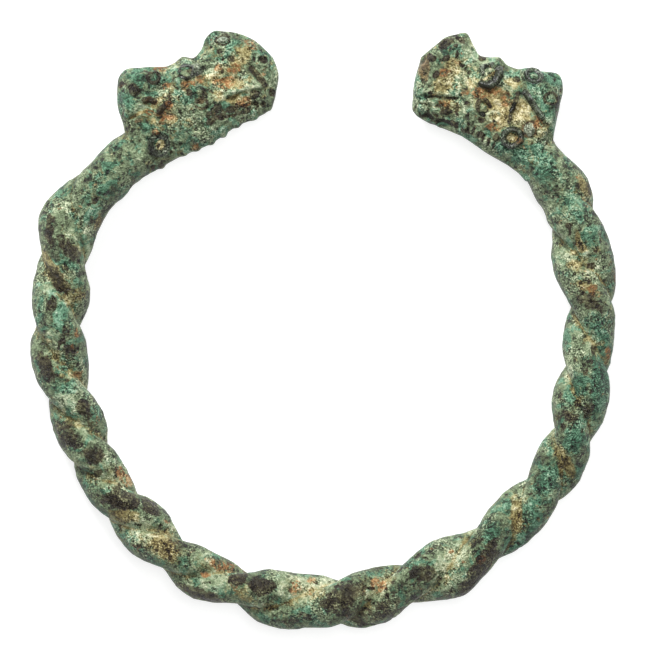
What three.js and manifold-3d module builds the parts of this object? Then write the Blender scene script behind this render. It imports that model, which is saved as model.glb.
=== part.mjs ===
// A bronze torc: an open neck ring twisted like two strands, each end cast as an animal's head.
// Millimetres, +Z up. The torc lies flat with its gap towards +Y, each head's crown faces out of
// the ring and its jaw faces in. The origin is on the ground, under the middle of the outline.
import * as THREE from "three";
import { mergeVertices } from "three/addons/utils/BufferGeometryUtils.js";
import Module from "manifold-3d";

// Driving dimensions of the ring, in millimetres and degrees.
const HOOP_RADIUS = 64.1; // centre of the ring to the middle of the twisted bar
const STRAND_OFFSET = 2.3; // middle of the bar to the middle of one strand
const STRAND_RISE = 4.3; // a strand's half thickness, away from the middle of the bar
const STRAND_SPREAD = 4.85; // a strand's half thickness, across
const GROOVE_FLOOR = 4.0; // middle of the bar to the bottom of the groove between the strands
const GROOVE_BLEND = 1.2; // how softly the strands run into the groove
const FLATTENED = 1.1; // the bar was hammered flat: the most that its height may be thickened
const NECK_RADIUS = 6.0; // the plain round neck behind each head
const NECK_LENGTH = 14; // over which the bar turns from the ring into the line of a head
const RESTING_WEAR = 0.35; // how far the lowest strands are worn flat where the torc lies

// How the hammered bar wanders: degrees round the ring from the gap, how far its middle lies
// outside HOOP_RADIUS, and its thickness as a share of the sizes above.
const WANDER = [
  [52, 1.2, 0.96],
  [60, 1.4, 1.07],
  [67, 0.6, 1.08],
  [76, -0.4, 1.12],
  [84, -0.2, 1.03],
  [93, -1.2, 0.93],
  [99, -1.0, 1.01],
  [105, -1.1, 1.01],
  [114, -0.1, 0.94],
  [125, 0.5, 0.93],
  [136, -0.2, 0.96],
  [144, 0.0, 0.94],
  [153, -0.2, 1.12],
  [162, -0.4, 0.98],
  [169, 0.5, 1.03],
  [178, 1.0, 1.1],
  [183, 0.7, 1.0],
  [188, 1.2, 1.02],
  [193, 1.0, 1.06],
  [198, 0.7, 0.82],
  [207, 1.3, 0.93],
  [214, 0.7, 0.84],
  [222, 0.0, 1.0],
  [229, 0.0, 0.93],
  [236, -0.3, 0.9],
  [243, -0.7, 0.96],
  [249, -1.1, 0.96],
  [257, -0.7, 0.97],
  [264, -0.2, 1.04],
  [271, -0.1, 1.07],
  [279, -0.3, 1.04],
  [286, 1.0, 1.08],
  [292, 1.2, 1.34],
  [299, 0.9, 1.19],
  [304, 0.0, 0.9],
];
// Where the grooves cross the rim, half a turn of the twist apart, in degrees round the ring.
const HALF_TURNS = [
  53.0, 66.2, 84.6, 98.7, 113.5, 126.6, 143.1, 162.4, 177.6, 198.3, 214.6, 229.4, 242.6, 256.3, 271.4,
  285.5, 303.1,
];

// The two heads are near copies, shaped by hand. In a head's own measure the first number runs
// from the back of the jaw towards the muzzle, and the second across it, jaw to crown.
const RIGHT_HEAD = {
  back: [46.9, 45.8], // where the head's line starts, from the centre of the ring
  tilt: 31, // degrees between the head's line and the X axis
  end: 1, // which end of the ring: 1 on +X, -1 on -X
  neck: [
    [-12, -5.0],
    [-6, -1.7],
  ],
  crown: [
    [-6, 4.8],
    [-4.9, 7.6],
    [-3.6, 11.7],
    [-2.4, 15.2],
    [-1.0, 17.1],
    [0.5, 17.7],
    [4.8, 15.8],
    [7.2, 15.1],
    [9.6, 13.5],
    [12.0, 13.1],
    [14.4, 13.8],
    [16.8, 12.7],
    [18.9, 12.0],
    [21.5, 13.3],
    [24.2, 14.7],
    [26.4, 13.1],
    [28.2, 11.2],
    [29.4, 8.2],
    [30.8, 4.3],
  ],
  jaw: [
    [-6, -8.2],
    [-2.4, -7.4],
    [4.8, -7.1],
    [12, -6.7],
    [16.8, -7.3],
    [20.3, -8.1],
    [23.9, -8.3],
    [25.8, -7.8],
    [27.8, -4.3],
    [29.7, 0.7],
    [30.8, 4.3],
  ],
  eye: [14.8, 9.3],
  rings: [
    [12.0, 1.0, 1.5, 0.5],
    [2.4, -1.0, 1.9, 0.65],
    [4.8, 13.6, 1.4, 0.4],
    [-0.3, 12.5, 1.4, 0.4],
  ],
  ridges: [
    [0.65, [-2.2, 6.6], [5.2, 10.4]],
    [0.5, [4.8, 1.9], [5.7, 5.3], [6.9, 9.1]],
    [0.6, [18.4, 2.1], [22.6, 0.1], [26.8, -2.3]],
  ],
  mouth: [
    [18.0, 1.0],
    [22.4, -1.2],
    [27.4, -4.4],
  ],
  nostril: [27.4, 7.6],
  beadSide: 1.4, // the beads under the jaw lean towards +Z by this much
};
const LEFT_HEAD = {
  back: [-39.5, 45.9],
  tilt: 31,
  end: -1,
  neck: [
    [-16.7, -1.9],
    [-11, -0.1],
    [-6, 0.2],
  ],
  crown: [
    [-6, 7.4],
    [-4.9, 11.6],
    [-3.6, 14.2],
    [-2.4, 16.1],
    [-0.6, 17.9],
    [1.0, 18.4],
    [4.8, 16.8],
    [7.2, 15.6],
    [9.6, 14.2],
    [12.0, 13.6],
    [14.4, 13.9],
    [16.8, 12.4],
    [19.1, 13.2],
    [21.5, 14.8],
    [23.9, 15.4],
    [26.4, 13.8],
    [28.7, 11.8],
    [30.9, 9.1],
    [32.4, 5.4],
    [33.0, 2.6],
  ],
  jaw: [
    [-6, -5.9],
    [-2.4, -5.9],
    [4.8, -6.7],
    [9.6, -7.1],
    [16.8, -7.1],
    [21.5, -7.6],
    [25.8, -7.8],
    [27.8, -6.4],
    [30.0, -4.2],
    [32.1, -1.6],
    [33.0, 2.6],
  ],
  eye: [13.9, 10.4],
  rings: [
    [12.9, 3.4, 1.7, 0.5],
    [-0.7, -1.2, 1.85, 0.65],
    [5.7, 14.0, 1.3, 0.35],
    [0.5, 13.5, 1.5, 0.4],
  ],
  ridges: [
    [0.6, [-3.6, 7.9], [4.6, 11.0]],
    [0.5, [2.9, 5.6], [6.2, 7.2], [9.4, 8.0]],
    [0.6, [16.4, 2.7], [22.6, 1.0], [27.6, -2.4]],
  ],
  mouth: [
    [16.0, 1.5],
    [22.2, -0.5],
    [28.6, -4.6],
  ],
  nostril: [30.0, 4.6],
  beadSide: 0,
};
// What both heads share: along the head, its half width, how square its section is, and the
// share by which its crown is wider, and its jaw narrower, than the middle.
const HEAD_WIDTH = [
  [-6, 6.0, 2.0, 0],
  [-3.5, 6.2, 2.4, 0.06],
  [0, 6.3, 3.0, 0.15],
  [5, 6.3, 3.2, 0.16],
  [9, 6.2, 2.9, 0.06],
  [14.5, 6.4, 2.8, 0.06],
  [18, 5.3, 2.6, 0.02],
  [21, 5.1, 2.6, 0],
  [25, 5.6, 2.8, 0.02],
  [28, 4.8, 2.5, 0],
];
const MUZZLE_ROUNDING = 3.2; // the last stretch of a head, over which its width closes
const EYE = { radius: 2.15, rim: 0.65, pupil: 1.0 };
const EAR_NOTCH = { at: 1.5, length: 6.2, depth: 3.4, width: 2.0 }; // between the two ears
const MOUTH_DEPTH = 0.55;
const NOSTRIL_RADIUS = 0.8;
const JAW_BEADS = { first: -4, last: 18, count: 7, radius: 1.35 };

// How finely the surface is cut into flat faces.
const BAR_AROUND = 16;
const HEAD_AROUND = 18;
const STATION = 3.1; // along the bar
const HEAD_STATIONS = 18;

const { clamp, degToRad, lerp, radToDeg, smoothstep } = THREE.MathUtils;
const wasm = await Module();
wasm.setup();

// A smooth curve through a table's rows that never overshoots them: column c at place x.
function along(table, x, c = 1) {
  const last = table.length - 1;
  const at = clamp(x, table[0][0], table[last][0]);
  let i = 0;
  while (i < last - 1 && at > table[i + 1][0]) i += 1;
  const slope = (k) => (table[k + 1][c] - table[k][c]) / (table[k + 1][0] - table[k][0]);
  const tangent = (k) => {
    if (k === 0) return slope(0);
    if (k === last) return slope(last - 1);
    const [before, after] = [slope(k - 1), slope(k)];
    return before * after <= 0 ? 0 : (2 * before * after) / (before + after);
  };
  const width = table[i + 1][0] - table[i][0];
  const t = (at - table[i][0]) / width;
  const s = 1 - t;
  return (
    table[i][c] * s * s * (1 + 2 * t) +
    table[i + 1][c] * t * t * (1 + 2 * s) +
    tangent(i) * width * t * s * s -
    tangent(i + 1) * width * t * t * s
  );
}

function softMax(a, b, blend) {
  const h = Math.max(blend - Math.abs(a - b), 0) / blend;
  return Math.max(a, b) + (h * h * blend) / 4;
}

// count points, evenly spaced along a closed outline.
function evenLoop(outline, count) {
  const lengths = [0];
  outline.forEach((p, i) => lengths.push(lengths[i] + p.distanceTo(outline[(i + 1) % outline.length])));
  const total = lengths[outline.length];
  let i = 0;
  return Array.from({ length: count }, (_, k) => {
    const wanted = (total * k) / count;
    while (lengths[i + 1] < wanted) i += 1;
    const t = (wanted - lengths[i]) / (lengths[i + 1] - lengths[i]);
    return outline[i].clone().lerp(outline[(i + 1) % outline.length], t);
  });
}

// The twist at one place round the ring, counted in half turns.
function halfTurnsAt(angle) {
  return along(HALF_TURNS.map((place, index) => [place, index]), angle);
}

// How far a strand reaches from the middle of the bar, in a direction this far from its own.
function strandReach(turn) {
  const [c, s] = [Math.cos(turn), Math.sin(turn)];
  const q = (c / STRAND_RISE) ** 2 + (s / STRAND_SPREAD) ** 2;
  const m = (STRAND_OFFSET * c) / STRAND_RISE ** 2;
  return (m + Math.sqrt(m * m - q * ((STRAND_OFFSET / STRAND_RISE) ** 2 - 1))) / q;
}

// The bar's section there: points (out, up) from its middle, the first one in a groove.
function barLoop(angle) {
  const turns = halfTurnsAt(angle);
  const nearEnd = Math.min(turns, HALF_TURNS.length - 1 - turns);
  const size = along(WANDER, angle, 2);
  const outline = [];
  const steps = 10 * BAR_AROUND;
  for (let i = 0; i < steps; i += 1) {
    const turn = (2 * Math.PI * i) / steps;
    const facing = turn - Math.PI * turns;
    const reach = [-0.5, 0.5].reduce(
      (r, way) => softMax(r, strandReach(turn + way * Math.PI), GROOVE_BLEND),
      GROOVE_FLOOR,
    );
    // The strands rise out of the plain neck, first on the outside of the ring.
    const risen = smoothstep(nearEnd + 0.4 * Math.cos(facing), 0.1, 1);
    const radius = lerp(NECK_RADIUS, size * reach, risen);
    const up = radius * Math.sin(facing) * Math.min(1, FLATTENED / size);
    outline.push(new THREE.Vector2(radius * Math.cos(facing), up));
  }
  return evenLoop(outline, BAR_AROUND);
}

// A head's section at one place along it.
function headSection(head, at) {
  const top = along(head.crown, at);
  const bottom = along(head.jaw, at);
  const tip = head.crown[head.crown.length - 1][0];
  const closing = clamp((tip - at) / MUZZLE_ROUNDING, 0, 1);
  return {
    middle: (top + bottom) / 2,
    half: (top - bottom) / 2,
    width: along(HEAD_WIDTH, at, 1) * Math.sqrt(1 - (1 - closing) ** 2),
    power: along(HEAD_WIDTH, at, 2),
    flare: along(HEAD_WIDTH, at, 3),
  };
}

function headLoop(head, at) {
  const { middle, half, width, power, flare } = headSection(head, at);
  const bent = (x) => Math.sign(x) * Math.abs(x) ** (2 / power);
  const outline = [];
  const steps = 10 * HEAD_AROUND;
  for (let i = 0; i < steps; i += 1) {
    const turn = (2 * Math.PI * i) / steps;
    const level = bent(Math.cos(turn));
    const side = bent(Math.sin(turn)) * width * (1 + flare * level);
    outline.push(new THREE.Vector2(middle + half * level, side));
  }
  return evenLoop(outline, HEAD_AROUND);
}

// How far a head's side stands from its middle plane at a place on it.
function sideOf(head, at, across) {
  const { middle, half, width, power, flare } = headSection(head, at);
  const level = clamp((across - middle) / half, -0.98, 0.98);
  return width * (1 - Math.abs(level) ** power) ** (1 / power) * (1 + flare * level);
}

// Directions in the plane of the ring for something that faces out at this angle from the gap.
function facing(angle) {
  const a = degToRad(angle);
  return {
    out: new THREE.Vector3(Math.sin(a), Math.cos(a), 0),
    onward: new THREE.Vector3(Math.cos(a), -Math.sin(a), 0),
  };
}

// A point of a head, from its own measure: along, across and up.
function inHead(head, at, across, up = 0) {
  const { out, onward } = facing(head.end * head.tilt);
  return new THREE.Vector3(head.back[0], head.back[1], up)
    .addScaledVector(onward, -head.end * at)
    .addScaledVector(out, across);
}

// The middle line of the bar, from one neck round to the other.
function barLine() {
  const round = WANDER.slice(1, -1).map(([angle, outside]) =>
    facing(angle).out.multiplyScalar(HOOP_RADIUS + outside),
  );
  const neck = (head) => head.neck.map(([at, across]) => inHead(head, at, across));
  const points = [...neck(RIGHT_HEAD).reverse(), ...round, ...neck(LEFT_HEAD)];
  return new THREE.CatmullRomCurve3(points);
}

// Evenly spaced places along a head, from its back to just short of the tip.
function headStations(head) {
  const [start, tip] = [head.crown[0][0], head.crown[head.crown.length - 1][0]];
  const samples = 200;
  const travelled = [[0, start]];
  for (let i = 1; i < samples; i += 1) {
    const [a, b] = [i - 1, i].map((k) => lerp(start, tip, k / samples));
    const rise = [head.crown, head.jaw].map((line) => along(line, b) - along(line, a));
    travelled.push([travelled[i - 1][0] + Math.hypot(b - a, ...rise), b]);
  }
  const total = travelled[samples - 1][0];
  return Array.from({ length: HEAD_STATIONS }, (_, k) =>
    along(travelled, (total * (k + 0.5)) / HEAD_STATIONS),
  );
}

// Triangles between two closed loops of points, whose numbering starts at these counts. Of the
// two ways to go on at each step, the one with the shorter new edge is taken.
function between(one, two, oneStart, twoStart) {
  const faces = [];
  const [n, m] = [one.length, two.length];
  const ahead = 1.01 / Math.min(n, m);
  let [i, j] = [0, 0];
  while ((i < n && n > 1) || (j < m && m > 1)) {
    const [here, there] = [one[i % n], two[j % m]];
    const lead = i / n - j / m;
    const mayOne = n > 1 && i < n && (m === 1 || j === m || lead < ahead - 1 / n);
    const mayTwo = m > 1 && j < m && (n === 1 || i === n || -lead < ahead - 1 / m);
    const oneIsShort = one[(i + 1) % n].distanceTo(there) < two[(j + 1) % m].distanceTo(here);
    const corners = [oneStart + (i % n), 0, twoStart + (j % m)];
    if (mayOne && (oneIsShort || !mayTwo)) {
      i += 1;
      corners[1] = oneStart + (i % n);
    } else {
      j += 1;
      corners[1] = twoStart + (j % m);
    }
    faces.push(...corners);
  }
  return faces;
}

// One closed skin: right muzzle, neck, ring, neck, left muzzle.
function skin() {
  const rings = [];
  const place = (origin, angle, loop) => {
    const { out } = facing(angle);
    rings.push(loop.map(({ x, y }) => origin.clone().addScaledVector(out, x).setZ(y)));
  };
  const headRings = (head, stations) =>
    stations.forEach((at) =>
      place(inHead(head, at, 0), head.end * head.tilt, headLoop(head, at)),
    );
  headRings(RIGHT_HEAD, headStations(RIGHT_HEAD).reverse());
  const line = barLine();
  const length = line.getLength();
  const steps = Math.round(length / STATION);
  for (let i = 0; i < steps; i += 1) {
    const travelled = (length * (i + 0.3)) / steps;
    const middle = line.getPointAt(travelled / length);
    const angle = (radToDeg(Math.atan2(middle.x, middle.y)) + 360) % 360;
    const onRight = travelled < length / 2;
    const tilt = onRight ? RIGHT_HEAD.tilt : 360 - LEFT_HEAD.tilt;
    const left = Math.min(travelled, length - travelled);
    place(middle, lerp(tilt, angle, smoothstep(left, 0, NECK_LENGTH)), barLoop(angle));
  }
  headRings(LEFT_HEAD, headStations(LEFT_HEAD));

  const tips = [RIGHT_HEAD, LEFT_HEAD].map((head) => inHead(head, ...head.crown.at(-1)));
  const loops = [[tips[0]], ...rings, [tips[1]]];
  const starts = [0];
  loops.forEach((loop, i) => starts.push(starts[i] + loop.length));
  const faces = [];
  for (let i = 1; i < loops.length; i += 1) {
    faces.push(...between(loops[i - 1], loops[i], starts[i - 1], starts[i]));
  }
  const geometry = new THREE.BufferGeometry().setFromPoints(loops.flat());
  return geometry.setIndex(faces);
}

// A geometry as a solid that can be joined and cut.
function solid(geometry, matrix = new THREE.Matrix4()) {
  const bare = geometry.clone();
  bare.deleteAttribute("normal");
  bare.deleteAttribute("uv");
  const merged = mergeVertices(bare.applyMatrix4(matrix), 1e-4);
  return new wasm.Manifold(
    new wasm.Mesh({
      numProp: 3,
      vertProperties: new Float32Array(merged.getAttribute("position").array),
      triVerts: new Uint32Array(merged.index.array),
    }),
  );
}

// Where a form sits on the side of a head: its own Z axis stands out of the surface there.
function onSide(head, at, across, side, sunk = 0) {
  const step = 0.8;
  const up = (x, y) => inHead(head, x, y, side * sideOf(head, x, y));
  const one = up(at + step, across).sub(up(at - step, across));
  const two = up(at, across + step).sub(up(at, across - step));
  const normal = one.cross(two).normalize();
  if (normal.z * side < 0) normal.negate();
  const turn = new THREE.Quaternion().setFromUnitVectors(new THREE.Vector3(0, 0, 1), normal);
  const origin = up(at, across).addScaledVector(normal, -sunk);
  return new THREE.Matrix4().compose(origin, turn, new THREE.Vector3(1, 1, 1));
}

// A round rod that follows a line of places on a head's side.
function rod(head, places, side, radius, lift = 0) {
  const points = places.map(([at, across]) =>
    inHead(head, at, across, side * (sideOf(head, at, across) + lift)),
  );
  const section = new THREE.Shape().absarc(0, 0, radius, 0, 2 * Math.PI);
  const path = new THREE.CatmullRomCurve3(points);
  const steps = 2 * (places.length - 1);
  return solid(
    new THREE.ExtrudeGeometry(section, { extrudePath: path, steps, curveSegments: 3 }),
  );
}

// The carving on one side of a head: what stands out of it and what is cut into it.
function sideCarving(head, side) {
  const raised = [];
  const cut = [];
  const ringOf = (at, across, radius, rim) => {
    const hoop = new THREE.TorusGeometry(radius, rim, 4, 8);
    raised.push(solid(hoop, onSide(head, at, across, side, 0.15 * rim)));
  };
  const ball = (at, across, radius, sunk, list) => {
    const shape = new THREE.SphereGeometry(radius, 6, 5);
    list.push(solid(shape, onSide(head, at, across, side, sunk)));
  };
  ringOf(...head.eye, EYE.radius, EYE.rim);
  ball(...head.eye, EYE.pupil, 0.45 * EYE.pupil, raised);
  head.rings.forEach((ring) => ringOf(...ring));
  head.ridges.forEach(([radius, ...places]) => raised.push(rod(head, places, side, radius)));
  cut.push(rod(head, head.mouth, side, MOUTH_DEPTH, 0.2 * MOUTH_DEPTH));
  ball(...head.nostril, NOSTRIL_RADIUS, 0, cut);
  return { raised, cut };
}

// The beads in a row under the jaw.
function jawBeads(head) {
  const { first, last, count, radius } = JAW_BEADS;
  return Array.from({ length: count }, (_, i) => {
    const at = lerp(first, last, i / (count - 1));
    const bead = new THREE.SphereGeometry(radius, 6, 4);
    const centre = inHead(head, at, along(head.jaw, at) + 0.75 * radius, head.beadSide);
    return solid(bead, new THREE.Matrix4().setPosition(centre));
  });
}

// The notch that parts the two ears.
function earNotch(head) {
  const { at, length, depth, width } = EAR_NOTCH;
  const notch = new THREE.SphereGeometry(1, 8, 6);
  notch.scale(length, depth, width);
  const turn = new THREE.Matrix4().makeRotationZ(-head.end * degToRad(head.tilt));
  const centre = inHead(head, at, along(head.crown, at) + 0.2 * depth);
  return solid(notch, turn.setPosition(centre));
}

function torcSolid() {
  let body = solid(skin());
  for (const head of [RIGHT_HEAD, LEFT_HEAD]) {
    const sides = [1, -1].map((side) => sideCarving(head, side));
    const cut = [earNotch(head), ...sides.flatMap((s) => s.cut)];
    const raised = [...jawBeads(head), ...sides.flatMap((s) => s.raised)];
    cut.forEach((tool) => {
      body = body.subtract(tool);
    });
    raised.forEach((form) => {
      body = body.add(form);
    });
  }
  return body;
}

// The lowest strands are worn flat: everything under the resting plane is cut away.
function wornFlat(body) {
  const low = body.boundingBox().min[2];
  const slab = new THREE.BoxGeometry(8 * HOOP_RADIUS, 8 * HOOP_RADIUS, HOOP_RADIUS);
  slab.translate(0, 0, low + RESTING_WEAR - HOOP_RADIUS / 2);
  return body.subtract(solid(slab));
}

function geometryOf(body) {
  const mesh = body.getMesh();
  const geometry = new THREE.BufferGeometry();
  geometry.setAttribute("position", new THREE.BufferAttribute(mesh.vertProperties, 3));
  geometry.setIndex(new THREE.BufferAttribute(mesh.triVerts, 1));
  geometry.computeBoundingBox();
  const { min, max } = geometry.boundingBox;
  geometry.translate(-(min.x + max.x) / 2, -(min.y + max.y) / 2, -min.z);
  geometry.computeVertexNormals();
  return geometry;
}

const bronze = new THREE.MeshStandardMaterial({ color: 0x5f7f66, roughness: 0.6, metalness: 0.25 });
const torc = new THREE.Mesh(geometryOf(wornFlat(torcSolid())), bronze);
torc.name = "torc";
const group = new THREE.Group();
group.add(torc);

export default group;
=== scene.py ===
# %% [markdown]
# # A bronze torc with two animal heads
#
# A torc is a stiff ring worn round the neck. This one is a single piece of bronze: two strands
# twisted together like a rope and bent into an open ring, with an animal's head cast at each
# end. It lay in the ground for a very long time, so it has a thick green skin, the patina.
#
# The whole torc is one mesh here, because it is one casting. Its surface is worked out as a
# grid of points, station by station along the bar, and then pushed in and out for the carving
# and the corrosion. Sculpting it by hand would also do, but then no number could be changed.
#
# Lengths in this script are in millimetres until the mesh is made. The torc lies flat, +Z is up,
# and its gap is towards +Y.

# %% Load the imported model
import itertools

import bpy
import numpy as np
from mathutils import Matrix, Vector


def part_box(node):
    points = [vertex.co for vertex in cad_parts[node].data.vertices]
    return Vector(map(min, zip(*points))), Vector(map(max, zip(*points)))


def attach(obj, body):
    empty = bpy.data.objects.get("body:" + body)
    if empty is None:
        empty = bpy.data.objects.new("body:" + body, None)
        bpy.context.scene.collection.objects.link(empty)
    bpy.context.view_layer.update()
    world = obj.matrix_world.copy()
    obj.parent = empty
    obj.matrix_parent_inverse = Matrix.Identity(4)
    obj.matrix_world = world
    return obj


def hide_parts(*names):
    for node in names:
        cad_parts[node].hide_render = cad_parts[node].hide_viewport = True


MM = 0.001
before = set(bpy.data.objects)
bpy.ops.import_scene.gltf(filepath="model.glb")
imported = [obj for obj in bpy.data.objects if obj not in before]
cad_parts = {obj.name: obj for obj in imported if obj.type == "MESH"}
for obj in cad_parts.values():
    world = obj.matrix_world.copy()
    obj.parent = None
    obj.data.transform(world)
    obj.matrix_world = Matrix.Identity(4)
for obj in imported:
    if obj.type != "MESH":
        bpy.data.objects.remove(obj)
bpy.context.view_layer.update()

# %% [markdown]
# ## The measures of the ring
#
# The bar's section is two ovals side by side, which is what two soft rods become when they are
# twisted tight. The table follows the bar round the ring: no hand-twisted bar is even, so each
# row gives the place in degrees from the gap, how far the bar's middle strays outwards, and how
# thick it is there. It was hammered flat as well, so its height never grows by more than a
# tenth. The second table says where the grooves cross the rim, half a turn of the twist apart.

# %% The ring's measures
HOOP_RADIUS = 64.1
STRAND_OFFSET = 2.3
STRAND_RISE = 4.3
STRAND_SPREAD = 4.85
GROOVE_FLOOR = 4.0
GROOVE_BLEND = 1.2
FLATTENED = 1.1
NECK_RADIUS = 6.0
NECK_LENGTH = 14

WANDER = [
    (52, 1.2, 0.96), (60, 1.4, 1.07), (67, 0.6, 1.08), (76, -0.4, 1.12), (84, -0.2, 1.03),
    (93, -1.2, 0.93), (99, -1.0, 1.01), (105, -1.1, 1.01), (114, -0.1, 0.94), (125, 0.5, 0.93),
    (136, -0.2, 0.96), (144, 0.0, 0.94), (153, -0.2, 1.12), (162, -0.4, 0.98), (169, 0.5, 1.03),
    (178, 1.0, 1.1), (183, 0.7, 1.0), (188, 1.2, 1.02), (193, 1.0, 1.06), (198, 0.7, 0.82),
    (207, 1.3, 0.93), (214, 0.7, 0.84), (222, 0.0, 1.0), (229, 0.0, 0.93), (236, -0.3, 0.9),
    (243, -0.7, 0.96), (249, -1.1, 0.96), (257, -0.7, 0.97), (264, -0.2, 1.04), (271, -0.1, 1.07),
    (279, -0.3, 1.04), (286, 1.0, 1.08), (292, 1.2, 1.34), (299, 0.9, 1.19), (304, 0.0, 0.9),
]
HALF_TURNS = [
    53.0, 66.2, 84.6, 98.7, 113.5, 126.6, 143.1, 162.4, 177.6, 198.3, 214.6, 229.4, 242.6, 256.3, 271.4,
    285.5, 303.1,
]
print(len(HALF_TURNS) - 1, "half turns of the twist")

# %% [markdown]
# ## The measures of the heads
#
# The two heads were shaped by hand, so each has its own outline. A head is measured in its own
# frame: the first number runs from the back of the jaw towards the muzzle, and the second runs
# across it, from the jaw (low) to the crown (high). The crown and the jaw are the two outlines
# of the head seen from the side. Both heads share their thickness, which the side view hides.

# %% The heads' measures
RIGHT_HEAD = {
    "back": (46.9, 45.8),
    "tilt": 31,
    "end": 1,
    "neck": [(-12, -5.0), (-6, -1.7)],
    "crown": [
        (-6, 4.8), (-4.9, 7.6), (-3.6, 11.7), (-2.4, 15.2), (-1.0, 17.1), (0.5, 17.7),
        (4.8, 15.8), (7.2, 15.1), (9.6, 13.5), (12.0, 13.1), (14.4, 13.8), (16.8, 12.7),
        (18.9, 12.0), (21.5, 13.3), (24.2, 14.7), (26.4, 13.1), (28.2, 11.2), (29.4, 8.2),
        (30.8, 4.3),
    ],
    "jaw": [
        (-6, -8.2), (-2.4, -7.4), (4.8, -7.1), (12, -6.7), (16.8, -7.3), (20.3, -8.1),
        (23.9, -8.3), (25.8, -7.8), (27.8, -4.3), (29.7, 0.7), (30.8, 4.3),
    ],
}
LEFT_HEAD = {
    "back": (-39.5, 45.9),
    "tilt": 31,
    "end": -1,
    "neck": [(-16.7, -1.9), (-11, -0.1), (-6, 0.2)],
    "crown": [
        (-6, 7.4), (-4.9, 11.6), (-3.6, 14.2), (-2.4, 16.1), (-0.6, 17.9), (1.0, 18.4),
        (4.8, 16.8), (7.2, 15.6), (9.6, 14.2), (12.0, 13.6), (14.4, 13.9), (16.8, 12.4),
        (19.1, 13.2), (21.5, 14.8), (23.9, 15.4), (26.4, 13.8), (28.7, 11.8), (30.9, 9.1),
        (32.4, 5.4), (33.0, 2.6),
    ],
    "jaw": [
        (-6, -5.9), (-2.4, -5.9), (4.8, -6.7), (9.6, -7.1), (16.8, -7.1), (21.5, -7.6),
        (25.8, -7.8), (27.8, -6.4), (30.0, -4.2), (32.1, -1.6), (33.0, 2.6),
    ],
}
# Along the head: half the thickness, how square the section is, and how much wider the crown is
# than the jaw.
HEAD_WIDTH = [
    (-6, 6.0, 2.0, 0), (-3.5, 6.2, 2.4, 0.06), (0, 6.3, 3.0, 0.15), (5, 6.3, 3.2, 0.16),
    (9, 6.2, 2.9, 0.06), (14.5, 6.4, 2.8, 0.06), (18, 5.3, 2.6, 0.02), (21, 5.1, 2.6, 0),
    (25, 5.6, 2.8, 0.02), (28, 4.8, 2.5, 0),
]
MUZZLE_ROUNDING = 3.2
print("heads:", RIGHT_HEAD["crown"][-1][0], "and", LEFT_HEAD["crown"][-1][0], "mm to the muzzle")

# %% [markdown]
# ## Curves through the tables
#
# A table has few rows and the surface has many points, so something has to join the rows up.
# Straight lines would leave creases and an ordinary spline would swing past the rows. A cubic
# with its slopes held back, the same on both sides of a row, does neither.

# %% Curves


def along(table, x, column=1):
    """A smooth curve through a table's rows that never overshoots them."""
    places = np.array([row[0] for row in table], float)
    values = np.array([row[column] for row in table], float)
    slopes = np.diff(values) / np.diff(places)
    before, after = slopes[:-1], slopes[1:]
    turning = before * after <= 0
    both = np.where(turning, 1, before + after)
    middle = np.where(turning, 0, 2 * before * after / both)
    tangents = np.concatenate([slopes[:1], middle, slopes[-1:]])
    at = np.clip(x, places[0], places[-1])
    i = np.clip(np.searchsorted(places, at, side="right") - 1, 0, len(places) - 2)
    width = places[i + 1] - places[i]
    t = (at - places[i]) / width
    s = 1 - t
    return (
        values[i] * s * s * (1 + 2 * t)
        + values[i + 1] * t * t * (1 + 2 * s)
        + tangents[i] * width * t * s * s
        - tangents[i + 1] * width * t * t * s
    )


def smooth_step(x, start, end):
    """0 before start, 1 after end, and an easy slope between."""
    t = np.clip((x - start) / (end - start), 0, 1)
    return t * t * (3 - 2 * t)


def soft_max(a, b, blend):
    """The larger of two, with the corner between them rounded."""
    h = np.maximum(blend - np.abs(a - b), 0) / blend
    return np.maximum(a, b) + h * h * blend / 4


print("thickness opposite the gap:", round(float(along(WANDER, 180, 2)), 3))

# %% [markdown]
# ## The middle line of the bar
#
# The bar runs from one neck round the ring to the other. The line goes through the table's
# places, and through two or three places where each neck comes into line with its head. Blender
# could draw it as a curve object, but the twist needs to know each station's angle, so the
# points are worked out here. The line is then cut into even steps.

# %% The middle line


def facing(angle):
    """Outwards and onwards round the ring, at this angle from the gap."""
    a = np.radians(angle)
    return np.array([np.sin(a), np.cos(a)]), np.array([np.cos(a), -np.sin(a)])


def in_head(head, at, across):
    """A place of a head, from its own measure, in the plane of the ring."""
    out, onward = facing(head["end"] * head["tilt"])
    at, across = np.asarray(at, float)[..., None], np.asarray(across, float)[..., None]
    return np.array(head["back"]) - head["end"] * at * onward + across * out


def line_through(points, per_span=80):
    """A smooth line through points; each span leaves its ends towards the neighbours beyond."""
    p = np.vstack([2 * points[0] - points[1], points, 2 * points[-1] - points[-2]])
    line = []
    for a, b, c, d in zip(p, p[1:], p[2:], p[3:]):
        ab, bc, cd = (np.linalg.norm(v) ** 0.5 for v in (b - a, c - b, d - c))
        leave = ((b - a) / ab - (c - a) / (ab + bc) + (c - b) / bc) * bc
        reach = ((c - b) / bc - (d - b) / (bc + cd) + (d - c) / cd) * bc
        t = np.linspace(0, 1, per_span, endpoint=False)[:, None]
        s = 1 - t
        line.append(b * s * s * (1 + 2 * t) + c * t * t * (1 + 2 * s) + leave * t * s * s - reach * t * t * s)
    return np.vstack([*line, points[-1:]])


def even_steps(line, count, start=0.0, end=1.0):
    """Points at even distances along a line, and how far along it each lies."""
    travelled = np.concatenate([[0], np.cumsum(np.linalg.norm(np.diff(line, axis=0), axis=1))])
    wanted = np.linspace(start, end, count) * travelled[-1]
    return np.stack([np.interp(wanted, travelled, c) for c in line.T], 1), wanted, travelled[-1]


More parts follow.
